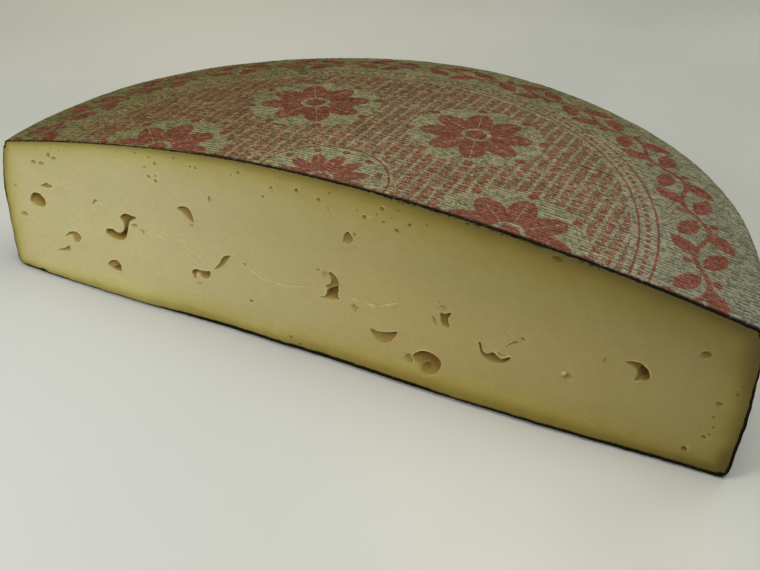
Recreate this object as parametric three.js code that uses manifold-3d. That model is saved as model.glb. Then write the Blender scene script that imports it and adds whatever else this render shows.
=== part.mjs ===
// Half wheel of alpine cheese, cut straight across, with the printed paper still on its top face.
// Millimetres, +Z up. The cut face looks towards -Y. Each piece is made round the whole wheel's
// own axis, which lies in the cut, and the group then brings the middle of the half wheel's box
// over the origin, on the floor.

import * as THREE from 'three';
import { mergeVertices } from 'three/addons/utils/BufferGeometryUtils.js';
import Module from 'manifold-3d';

// Driving dimensions of the whole wheel
const WHEEL_RADIUS = 160;          // at its widest, a little below half height
const EDGE_HEIGHT = 65;            // from the floor to the top edge of the side
const CROWN_HEIGHT = 17.6;         // how far the middle of the top stands above that edge
const CROWN_POWER = 2.2;           // 2 is a parabola, more is flatter in the middle
const WIDEST_HEIGHT = 29;          // height at which the side is widest
const TOP_DRAW_IN = 6.2;           // how much narrower the side is at its top edge
const BOTTOM_DRAW_IN = 0.7;        // and at the floor
const TOP_CORNER_RADIUS = 3;
const BOTTOM_CORNER_RADIUS = 5;
const CORNER_END = Math.PI / 2 - 0.2;  // where the rounding of the top edge meets the crown
const LEAN = 0.042;                // the wheel sagged to one side: shift along X for each mm of height
const FLARE_LOW = 0.3;             // how far the right end of the cut spreads, low on its side
const FLARE_HIGH = 3.1;            // and how much more towards its top edge
const FLARE_FROM = 38;             // heights between which the second sets in
const FLARE_TO = 62;
const FLARE_ANGLE = 0.2;           // the spread fades over about this angle round the wheel
const SIDE_WAVE = 0.5;             // slow unevenness round the side
const CROWN_WAVE = 0.5;            // slow unevenness over the top

// The printed paper
const PAPER_THICKNESS = 0.5;
const PAPER_GAP = 0.3;

// Fineness of the facets
const SEGMENTS = 96;               // round the whole wheel
const SIDE_STEPS = 7;
const CORNER_STEPS = 4;
const CROWN_STEPS = 9;

// Eyes on the cut face. Each is one or more blobs: across and up give the middle of a blob from
// the middle of the cut's lower edge, long and high its size, turn its tilt in degrees
// anticlockwise, and deep how far it reaches into the cheese.
const EYES = {
  leftRound: [
    { across: -140.8, up: 39, long: 8.6, high: 7.2, turn: 22, deep: 5.5 },
  ],
  leftPairs: [
    { across: -138, up: 58.2, long: 2.8, high: 2.2, turn: 20, deep: 2 },
    { across: -134, up: 58.2, long: 3.2, high: 2.2, turn: 10, deep: 2 },
    { across: -129.2, up: 63.2, long: 2, high: 2.4, turn: 0, deep: 1.6 },
    { across: -126.8, up: 62.3, long: 2.4, high: 1.6, turn: 15, deep: 1.6 },
  ],
  leftSlit: [
    { across: -134.2, up: 47.9, long: 7, high: 1.6, turn: 14, deep: 2.4 },
  ],
  leftDimple: [
    { across: -150.5, up: 29.6, long: 3.6, high: 2.4, turn: 0, deep: 1.2 },
  ],
  hook: [
    { across: -126.2, up: 26, long: 6.4, high: 1.6, turn: 34, deep: 2.6 },
    { across: -122.4, up: 26.9, long: 5.4, high: 2, turn: 6, deep: 3.4 },
    { across: -122.1, up: 24.5, long: 7, high: 3.2, turn: 58, deep: 3.8 },
  ],
  thorn: [
    { across: -132.3, up: 16, long: 8, high: 1.7, turn: 19, deep: 2.6 },
    { across: -128.9, up: 18.1, long: 3.4, high: 1.4, turn: 72, deep: 2.2 },
  ],
  caret: [
    { across: -108.4, up: 46.2, long: 3.8, high: 1.2, turn: 38, deep: 1.4 },
  ],
  bend: [
    { across: -93.9, up: 42.4, long: 6.4, high: 4.2, turn: 8, deep: 5 },
    { across: -90.4, up: 43.3, long: 4.4, high: 2, turn: 4, deep: 3 },
    { across: -94.7, up: 38.3, long: 7.6, high: 1.9, turn: 82, deep: 3 },
    { across: -101.6, up: 32.7, long: 8.4, high: 4.6, turn: 6, deep: 5 },
    { across: -96.6, up: 33.1, long: 5.8, high: 2.6, turn: 32, deep: 3.6 },
  ],
  bendCrumbs: [
    { across: -89.4, up: 39.2, long: 2.2, high: 1.3, turn: 20, deep: 1.2 },
    { across: -86.3, up: 37, long: 1.8, high: 2.2, turn: 0, deep: 1.4 },
  ],
  lowLeft: [
    { across: -103.9, up: 15.7, long: 7.4, high: 6.2, turn: 12, deep: 2.6 },
    { across: -103, up: 14.1, long: 4.8, high: 3.2, turn: 0, deep: 5 },
  ],
  tilted: [
    { across: -62.3, up: 52.6, long: 8.8, high: 5.6, turn: -36, deep: 5 },
    { across: -60.2, up: 47, long: 2.2, high: 1.3, turn: 0, deep: 1.4 },
  ],
  uprightSlit: [
    { across: -49.8, up: 61.6, long: 3.2, high: 1.1, turn: 84, deep: 1.6 },
  ],
  longSlit: [
    { across: -48.3, up: 31.4, long: 7, high: 1.7, turn: 48, deep: 3 },
    { across: -45.6, up: 34.9, long: 6.6, high: 2.2, turn: 55, deep: 3.6 },
    { across: -43.6, up: 37.5, long: 2.6, high: 1, turn: 18, deep: 1.6 },
  ],
  arch: [
    { across: -62.2, up: 24.4, long: 4.4, high: 1.4, turn: 70, deep: 2.4 },
    { across: -58.6, up: 25.7, long: 7.6, high: 2.2, turn: 6, deep: 4 },
    { across: -56, up: 24.6, long: 5, high: 3.8, turn: 30, deep: 5 },
    { across: -59.5, up: 19.3, long: 2.4, high: 1, turn: 6, deep: 1.4 },
  ],
  torn: [
    { across: 3.3, up: 33.4, long: 6.2, high: 6.4, turn: 0, deep: 6 },
    { across: 4.1, up: 39.2, long: 8.6, high: 3, turn: 112, deep: 3.4 },
    { across: 0.4, up: 30.7, long: 5.6, high: 1.6, turn: 6, deep: 2.4 },
    { across: -2.5, up: 42.3, long: 1.9, high: 1, turn: 35, deep: 1.4 },
  ],
  upperDrop: [
    { across: 10.5, up: 61.4, long: 3.2, high: 3.6, turn: 0, deep: 3 },
    { across: 10.2, up: 59.5, long: 3.8, high: 3.8, turn: 0, deep: 2.4 },
    { across: 13.5, up: 62.3, long: 1.2, high: 1.6, turn: 0, deep: 1 },
  ],
  star: [
    { across: 12.8, up: 29.5, long: 3.8, high: 2.2, turn: -15, deep: 2 },
  ],
  halfMoon: [
    { across: 23.8, up: 18.9, long: 7.8, high: 5.6, turn: 0, deep: 5 },
    { across: 27.4, up: 20.9, long: 6.8, high: 3, turn: 38, deep: 3.4 },
  ],
  biggest: [
    { across: 43.4, up: 14.6, long: 12.2, high: 7.4, turn: 8, deep: 7 },
    { across: 46, up: 12.6, long: 6.4, high: 6.2, turn: 30, deep: 4 },
    { across: 43, up: 10, long: 3.8, high: 3.4, turn: 0, deep: 4 },
    { across: 42.3, up: 7.7, long: 3, high: 1.6, turn: 75, deep: 1.8 },
    { across: 35.8, up: 12.6, long: 4.2, high: 4.6, turn: 0, deep: 1.6 },
  ],
  chip: [
    { across: 50.2, up: 35.6, long: 6.6, high: 3.4, turn: 82, deep: 4 },
    { across: 51.4, up: 38.5, long: 2.4, high: 1.3, turn: 25, deep: 2 },
    { across: 46.3, up: 34.2, long: 3.6, high: 1.2, turn: 105, deep: 1.4 },
  ],
  smile: [
    { across: 64.9, up: 27.8, long: 4.8, high: 1, turn: 95, deep: 1.8 },
    { across: 67.6, up: 24.4, long: 5.6, high: 3.6, turn: -18, deep: 4 },
    { across: 70.6, up: 24.3, long: 5.2, high: 3.6, turn: 10, deep: 3.4 },
    { across: 74.4, up: 24.6, long: 5.4, high: 2.2, turn: 24, deep: 2.4 },
    { across: 76.9, up: 33, long: 4.8, high: 1.1, turn: 40, deep: 1.6 },
  ],
  comma: [
    { across: 123.5, up: 36.2, long: 8, high: 5.2, turn: 84, deep: 6 },
    { across: 120.3, up: 38.9, long: 5.4, high: 2.4, turn: 14, deep: 3.4 },
    { across: 122.4, up: 33.2, long: 3, high: 2.6, turn: 0, deep: 2.6 },
  ],
  rightDimple: [
    { across: 142.9, up: 50.9, long: 3.4, high: 3.2, turn: 30, deep: 1.8 },
  ],
  topDimple: [
    { across: 90, up: 73.2, long: 3.4, high: 2.2, turn: 0, deep: 1.6 },
  ],
  rightDot: [
    { across: 150.4, up: 32.5, long: 2.2, high: 2, turn: 0, deep: 1.6 },
  ],
};
const LARGE_BLOB = 3.4;            // a blob longer than this gets the finer sphere
const FINE_BLOB = { around: 12, along: 8 };
const COARSE_BLOB = { around: 8, along: 5 };
const CUT_CLEARANCE = 0.2;         // blob middles lie this far behind the cut face

// Colours
const PASTE_COLOUR = 0xb9ab74;
const PAPER_COLOUR = 0x82836b;

const wasm = await Module();
wasm.setup();

// Solids and meshes

function toSolid(geometry) {
  const bare = geometry.index ? geometry.clone() : geometry;
  bare.deleteAttribute('normal');
  bare.deleteAttribute('uv');
  const merged = mergeVertices(bare, 1e-4);
  return new wasm.Manifold(new wasm.Mesh({
    numProp: 3,
    vertProperties: new Float32Array(merged.attributes.position.array),
    triVerts: new Uint32Array(merged.index.array),
  }));
}

function toGeometry(solid) {
  const mesh = solid.getMesh();
  const geometry = new THREE.BufferGeometry();
  geometry.setAttribute('position', new THREE.BufferAttribute(mesh.vertProperties, 3));
  geometry.setIndex(new THREE.BufferAttribute(mesh.triVerts, 1));
  geometry.computeVertexNormals();
  return geometry;
}

// The wheel's form

const edgeRadius = WHEEL_RADIUS - TOP_DRAW_IN;
const crownRadius = edgeRadius - TOP_CORNER_RADIUS;

function sideRadius(height) {
  const above = (height - WIDEST_HEIGHT) / (EDGE_HEIGHT - WIDEST_HEIGHT);
  const below = (WIDEST_HEIGHT - height) / WIDEST_HEIGHT;
  return WHEEL_RADIUS - (above > 0 ? TOP_DRAW_IN * above ** 2 : BOTTOM_DRAW_IN * below ** 2);
}

function crownHeight(radius) {
  return EDGE_HEIGHT + CROWN_HEIGHT * (1 - (radius / edgeRadius) ** CROWN_POWER);
}

// Sideways spread of the side next to the right end of the cut.
function flare(angle, reach, height) {
  const spread = FLARE_LOW + FLARE_HIGH * THREE.MathUtils.smoothstep(height, FLARE_FROM, FLARE_TO);
  return spread * Math.exp(-((angle / FLARE_ANGLE) ** 2)) * reach ** 4;
}

// Slow unevenness: the side bulges and the top rises and dips a little, while the floor stays flat.
function unevenness(point) {
  const angle = Math.atan2(point.y, point.x);
  const reach = Math.hypot(point.x, point.y) / WHEEL_RADIUS;
  const lift = THREE.MathUtils.smoothstep(point.z, 0, WIDEST_HEIGHT);
  const round = Math.sin(3 * angle + 0.6) + 0.6 * Math.sin(7 * angle + 2) * Math.cos(point.z / 16);
  const over = Math.cos(point.x / 31 + 0.4) * Math.cos(point.y / 27) + Math.sin(5 * angle) * reach ** 2;
  const grow = 1 + (SIDE_WAVE * round * lift * reach ** 2) / WHEEL_RADIUS;
  point.x = point.x * grow + LEAN * (point.z - WIDEST_HEIGHT) * reach + flare(angle, reach, point.z);
  point.y *= grow;
  point.z += (CROWN_WAVE * over * lift * point.z) / (EDGE_HEIGHT + CROWN_HEIGHT);
}

function turned(profile) {
  const geometry = new THREE.LatheGeometry(profile, SEGMENTS);
  geometry.rotateX(Math.PI / 2);
  // Half a segment of turn keeps every corner of the lathe off the plane of the cut.
  geometry.rotateZ(Math.PI / SEGMENTS);
  const place = geometry.attributes.position;
  const point = new THREE.Vector3();
  for (let index = 0; index < place.count; index += 1) {
    point.fromBufferAttribute(place, index);
    unevenness(point);
    place.setXYZ(index, point.x, point.y, point.z);
  }
  return geometry;
}

// Rings of the crown, from its middle out to the rounded edge, shared by wheel and paper.
function crownRings(rise) {
  const rings = [];
  for (let step = 0; step <= CROWN_STEPS; step += 1) {
    const radius = crownRadius * Math.sin((step / CROWN_STEPS) * (Math.PI / 2));
    rings.push(new THREE.Vector2(radius, crownHeight(radius) + rise));
  }
  return rings;
}

function cornerArc(middle, radius, fromAngle, toAngle) {
  const arc = [];
  for (let step = 0; step <= CORNER_STEPS; step += 1) {
    const angle = THREE.MathUtils.lerp(fromAngle, toAngle, step / CORNER_STEPS);
    arc.push(new THREE.Vector2(middle.x + radius * Math.cos(angle), middle.y + radius * Math.sin(angle)));
  }
  return arc;
}

// Middle of the rounding of the top edge.
function topCornerMiddle() {
  return new THREE.Vector2(crownRadius, crownHeight(crownRadius) - TOP_CORNER_RADIUS);
}

// Floor, lower corner, side, upper corner and crown, from axis to axis.
function wheelProfile() {
  const lowMiddle = new THREE.Vector2(
    sideRadius(BOTTOM_CORNER_RADIUS) - BOTTOM_CORNER_RADIUS,
    BOTTOM_CORNER_RADIUS,
  );
  const highMiddle = topCornerMiddle();
  const side = [];
  for (let step = 1; step < SIDE_STEPS; step += 1) {
    const height = THREE.MathUtils.lerp(lowMiddle.y, highMiddle.y, step / SIDE_STEPS);
    side.push(new THREE.Vector2(sideRadius(height), height));
  }
  return [
    new THREE.Vector2(0, 0),
    ...cornerArc(lowMiddle, BOTTOM_CORNER_RADIUS, -Math.PI / 2, 0),
    ...side,
    ...cornerArc(highMiddle, TOP_CORNER_RADIUS, 0, CORNER_END),
    ...crownRings(0).reverse(),
  ];
}

// Underside and upper side of the paper, which is folded down over the rounded edge.
function paperProfile() {
  const fold = topCornerMiddle();
  const inside = TOP_CORNER_RADIUS + PAPER_GAP;
  return [
    ...crownRings(PAPER_GAP),
    ...cornerArc(fold, inside, CORNER_END, 0),
    ...cornerArc(fold, inside + PAPER_THICKNESS, 0, CORNER_END),
    ...crownRings(PAPER_GAP + PAPER_THICKNESS).reverse(),
  ];
}

// What lies in front of the cut and is taken away.
function frontHalf() {
  const reach = 3 * WHEEL_RADIUS;
  const box = new THREE.BoxGeometry(reach, reach, reach);
  box.translate(0, -reach / 2, 0);
  return toSolid(box);
}

function blobGeometry({ across, up, long, high, turn, deep }) {
  const facets = long > LARGE_BLOB ? FINE_BLOB : COARSE_BLOB;
  const blob = new THREE.SphereGeometry(0.5, facets.around, facets.along);
  blob.scale(long, 2 * deep, high);
  blob.rotateY(-THREE.MathUtils.degToRad(turn));
  blob.translate(across, CUT_CLEARANCE, up);
  return blob;
}

function eyeSolids() {
  return Object.values(EYES).flat().map((blob) => toSolid(blobGeometry(blob)));
}

function cheeseGeometry() {
  let solid = toSolid(turned(wheelProfile())).subtract(frontHalf());
  for (const eye of eyeSolids()) {
    solid = solid.subtract(eye);
  }
  return toGeometry(solid);
}

function paperGeometry() {
  return toGeometry(toSolid(turned(paperProfile())).subtract(frontHalf()));
}

// The two pieces

const cheese = new THREE.Mesh(
  cheeseGeometry(),
  new THREE.MeshStandardMaterial({ color: PASTE_COLOUR, roughness: 0.55, metalness: 0 }),
);
cheese.name = 'cheese_half_wheel';

const paper = new THREE.Mesh(
  paperGeometry(),
  new THREE.MeshStandardMaterial({ color: PAPER_COLOUR, roughness: 0.85, metalness: 0 }),
);
paper.name = 'top_label';

const halfWheel = new THREE.Group();
halfWheel.add(cheese, paper);
const middle = new THREE.Box3().setFromObject(halfWheel).getCenter(new THREE.Vector3());
halfWheel.position.set(-middle.x, -middle.y, 0);

export default halfWheel;
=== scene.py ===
"""Half wheel of alpine cheese: paste with eyes, dark rind and printed paper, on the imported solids.

Blender 4.5. Lengths are millimetres in the wheel's own frame (X along the cut, Y back from the
cut, Z up from the floor) until a mesh is written, which is in metres in the part's frame.
"""

import math
import random

import bmesh
import bpy
import numpy as np
from mathutils import Matrix, Vector, noise
from mathutils.geometry import delaunay_2d_cdt


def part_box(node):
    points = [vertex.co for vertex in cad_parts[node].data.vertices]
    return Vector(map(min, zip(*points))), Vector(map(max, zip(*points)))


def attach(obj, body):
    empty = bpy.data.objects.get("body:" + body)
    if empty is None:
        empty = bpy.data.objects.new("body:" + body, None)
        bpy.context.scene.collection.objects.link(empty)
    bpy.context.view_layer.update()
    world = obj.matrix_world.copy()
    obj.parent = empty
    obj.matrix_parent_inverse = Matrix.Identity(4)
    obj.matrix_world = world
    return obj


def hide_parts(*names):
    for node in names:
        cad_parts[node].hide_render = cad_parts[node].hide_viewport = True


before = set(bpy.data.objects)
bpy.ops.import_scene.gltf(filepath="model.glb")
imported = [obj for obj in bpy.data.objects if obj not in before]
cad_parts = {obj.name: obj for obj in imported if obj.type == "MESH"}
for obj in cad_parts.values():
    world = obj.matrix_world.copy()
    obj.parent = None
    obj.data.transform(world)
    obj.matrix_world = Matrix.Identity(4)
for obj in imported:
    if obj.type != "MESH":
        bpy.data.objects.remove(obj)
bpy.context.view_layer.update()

MM = 0.001
CHEESE_NODE = "cheese_half_wheel"
LABEL_NODE = "top_label"
rng = random.Random(1)

# Form of the wheel, as in the solids
WHEEL_RADIUS = 160.0
EDGE_HEIGHT = 65.0
CROWN_HEIGHT = 17.6
CROWN_POWER = 2.2
WIDEST_HEIGHT = 29.0
TOP_DRAW_IN = 6.2
BOTTOM_DRAW_IN = 0.7
TOP_CORNER = 3.0
BOTTOM_CORNER = 5.0
LEAN = 0.042
SIDE_WAVE = 0.5
CROWN_WAVE = 0.5
FLARE_LOW = 0.3                         # how far the right end of the cut spreads, low on its side
FLARE_HIGH = 3.1                        # and how much more towards its top edge
FLARE_FROM = 38.0
FLARE_TO = 62.0
FLARE_ANGLE = 0.2
AXIS_ACROSS = -0.045                    # the wheel's axis, from the middle of the solids' box
EDGE_RADIUS = WHEEL_RADIUS - TOP_DRAW_IN
CROWN_RADIUS = EDGE_RADIUS - TOP_CORNER
cut_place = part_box(CHEESE_NODE)[0].y / MM


def to_part(points):
    """Wheel frame in millimetres to part frame in metres."""
    return (np.asarray(points, float) + (AXIS_ACROSS, cut_place, 0)) * MM


# Camera

CAMERA_PLACE = (164.36, -287.17, 265.69)
CAMERA_YAW = -0.4549
CAMERA_PITCH = 0.6081
CAMERA_ROLL = -0.0066
FOCAL_PIXELS = 1042.78
PHOTO_WIDTH = 760
SENSOR = 36.0


def make_camera():
    forward = Vector((
        math.sin(CAMERA_YAW) * math.cos(CAMERA_PITCH),
        math.cos(CAMERA_YAW) * math.cos(CAMERA_PITCH),
        -math.sin(CAMERA_PITCH),
    ))
    level = Vector((math.cos(CAMERA_YAW), -math.sin(CAMERA_YAW), 0))
    rise = level.cross(forward)
    right = level * math.cos(CAMERA_ROLL) + rise * math.sin(CAMERA_ROLL)
    up = rise * math.cos(CAMERA_ROLL) - level * math.sin(CAMERA_ROLL)
    data = bpy.data.cameras.new("camera")
    data.sensor_width = SENSOR
    data.lens = SENSOR * FOCAL_PIXELS / PHOTO_WIDTH
    data.clip_start = 0.01
    camera = bpy.data.objects.new("camera", data)
    turn = Matrix((right, up, -forward)).transposed()
    camera.matrix_world = Matrix.Translation(to_part(CAMERA_PLACE)) @ turn.to_4x4()
    bpy.context.collection.objects.link(camera)
    bpy.context.scene.camera = camera


# Form helpers

def smoothstep(value, low, high):
    """Smooth rise from 0 at low to 1 at high."""
    part = np.clip((value - low) / (high - low), 0, 1)
    return part * part * (3 - 2 * part)


def bell(value, middle, wide):
    """Smooth swell: 1 at the middle, and almost nothing at twice the width from it."""
    return np.exp(-(((value - middle) / wide) ** 2))


def look_up(table, place):
    """Value at a place, between the entries of a table of (place, value)."""
    return np.interp(place, *zip(*table))


def quarter_round(share):
    """Rise from 0 to 1 that starts steep and ends level, like a quarter of a circle."""
    return np.sqrt(1 - (1 - share) ** 2)


def side_radius(height):
    above = max(0.0, (height - WIDEST_HEIGHT) / (EDGE_HEIGHT - WIDEST_HEIGHT))
    below = max(0.0, (WIDEST_HEIGHT - height) / WIDEST_HEIGHT)
    return WHEEL_RADIUS - TOP_DRAW_IN * above**2 - BOTTOM_DRAW_IN * below**2


def crown_height(radius):
    return EDGE_HEIGHT + CROWN_HEIGHT * (1 - (radius / EDGE_RADIUS) ** CROWN_POWER)


def uneven(points):
    """The wheel's slow unevenness and its lean, as in the solids."""
    across, back, up = np.asarray(points, float).T
    angle = np.arctan2(back, across)
    reach = np.hypot(across, back) / WHEEL_RADIUS
    lift = smoothstep(up, 0, WIDEST_HEIGHT)
    round_wave = np.sin(3 * angle + 0.6) + 0.6 * np.sin(7 * angle + 2) * np.cos(up / 16)
    over_wave = np.cos(across / 31 + 0.4) * np.cos(back / 27) + np.sin(5 * angle) * reach**2
    grow = 1 + SIDE_WAVE * round_wave * lift * reach**2 / WHEEL_RADIUS
    flare = FLARE_LOW + FLARE_HIGH * smoothstep(up, FLARE_FROM, FLARE_TO)
    flare = flare * bell(angle, 0, FLARE_ANGLE) * reach**4
    return np.stack([
        across * grow + LEAN * (up - WIDEST_HEIGHT) * reach + flare,
        back * grow,
        up + CROWN_WAVE * over_wave * lift * up / (EDGE_HEIGHT + CROWN_HEIGHT),
    ], axis=1)


SEED_SHIFT = (7.3, 3.1, 5.7)


def wander(point, size, seed):
    """Smooth noise from -1 to 1 with features of about that size."""
    shift = Vector([seed * part for part in SEED_SHIFT])
    return noise.noise(Vector(point) / size + shift)


def wander_over(flat, size, seed):
    """Smooth noise at each point of a flat."""
    return np.array([wander((first, second, 0), size, seed) for first, second in flat])


def spaced(low, high, step):
    """Even values from low to high, about a step apart, without the last."""
    count = max(1, round(abs(high - low) / step))
    return [low + (high - low) * place / count for place in range(count)]


# The shell: floor, side and crown

SHELL_TURNS = 260
FLOOR_STEP = 4.0
SIDE_STEP = 1.1
CROWN_STEP = 4.0
CORNER_STEPS = 8
TOP_CORNER_TURN = math.pi / 2 - 0.2
FLOOR_HOLLOWS = (                       # across, back, half widths and lift of shallow hollows
    (-32, 0, 52, 34, 0.4),
    (146, 6, 20, 30, 0.5),
    (-158, 8, 11, 26, 0.7),
)
HOLLOW_FADE = 8.0                       # height at which the hollows are gone
RIND_RELIEF = (                         # height, size and seed of the rind's swellings and pits
    (0.45, 17, 1),
    (0.25, 6, 2),
    (0.16, 2.6, 3),
)


def wheel_profile():
    """Radius, height and outward slope of the profile, from the floor's middle to the crown's."""
    low_middle = (side_radius(BOTTOM_CORNER) - BOTTOM_CORNER, BOTTOM_CORNER)
    high_middle = (CROWN_RADIUS, crown_height(CROWN_RADIUS) - TOP_CORNER)
    rows = [(radius, 0.0, 0.0, -1.0) for radius in spaced(0, low_middle[0], FLOOR_STEP)]
    for step in range(CORNER_STEPS):
        angle = -math.pi / 2 * (1 - step / CORNER_STEPS)
        out, rise = math.cos(angle), math.sin(angle)
        low = low_middle[0] + BOTTOM_CORNER * out, low_middle[1] + BOTTOM_CORNER * rise
        rows.append((*low, out, rise))
    for height in spaced(low_middle[1], high_middle[1], SIDE_STEP):
        rows.append((side_radius(height), height, 1.0, 0.0))
    for step in range(CORNER_STEPS + 1):
        angle = TOP_CORNER_TURN * step / CORNER_STEPS
        out, rise = math.cos(angle), math.sin(angle)
        high = high_middle[0] + TOP_CORNER * out, high_middle[1] + TOP_CORNER * rise
        rows.append((*high, out, rise))
    for radius in spaced(CROWN_RADIUS - 1, 0, CROWN_STEP):
        rows.append((radius, crown_height(radius), 0.0, 1.0))
    rows.append((0.0, crown_height(0), 0.0, 1.0))
    return rows


def rind_relief(point, out):
    """Height of the rind's pits and swellings, full on the side and none on the crown."""
    return sum(high * wander(point, size, seed) for high, size, seed in RIND_RELIEF) * out


def floor_lift(across, back):
    lift = 0.0
    for middle, behind, wide, deep, high in FLOOR_HOLLOWS:
        spread = ((across - middle) / wide) ** 2 + ((back - behind) / deep) ** 2
        lift = lift + high * np.exp(-spread)
    return lift


def shell_points():
    """Grid of the shell: a list of points for each turn, from the cut's right end to its left."""
    profile = wheel_profile()
    grid = []
    for turn in range(SHELL_TURNS + 1):
        angle = math.pi * turn / SHELL_TURNS
        cosine, sine = math.cos(angle), math.sin(angle)
        if turn in (0, SHELL_TURNS):
            sine = 0.0
        base = uneven([(radius * cosine, radius * sine, up) for radius, up, _, _ in profile])
        column = []
        for (across, back, up), (_, _, out, rise) in zip(base, profile):
            relief = rind_relief((across, back, up), max(out, 0.0))
            lift = floor_lift(across, back) * max(0.0, 1 - up / HOLLOW_FADE)
            column.append((
                across + relief * out * cosine,
                back + relief * out * sine,
                max(0.0, up + relief * rise * (up > 1)) + lift,
            ))
        grid.append(column)
    return grid


# Outlines on the cut: eyes, slits, dimples and cracks

def ellipse(across, up, long, high, turn=0, count=14):
    slope = math.radians(turn)
    points = []
    for step in range(count):
        angle = 2 * math.pi * step / count
        along, over = long / 2 * math.cos(angle), high / 2 * math.sin(angle)
        points.append((
            across + along * math.cos(slope) - over * math.sin(slope),
            up + along * math.sin(slope) + over * math.cos(slope),
        ))
    return points


UPWARD = (0.10, 0.25)                   # how far an eye runs aside for each mm of depth
STRAIGHT = (0.0, 0.10)
UPPER_RIGHT = (0.6, 0.8)                # the way to the side where an eye is deepest


def hole(deep, wall, *outline, lean=UPWARD, dim=0.0, toward=UPPER_RIGHT):
    """An eye: depth, width of its steep wall, and (across, up) points; dim adds painted shade to its
    inside.
    """
    return dict(deep=deep, wall=wall, outline=outline, lean=lean, dim=dim, toward=toward)


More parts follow.
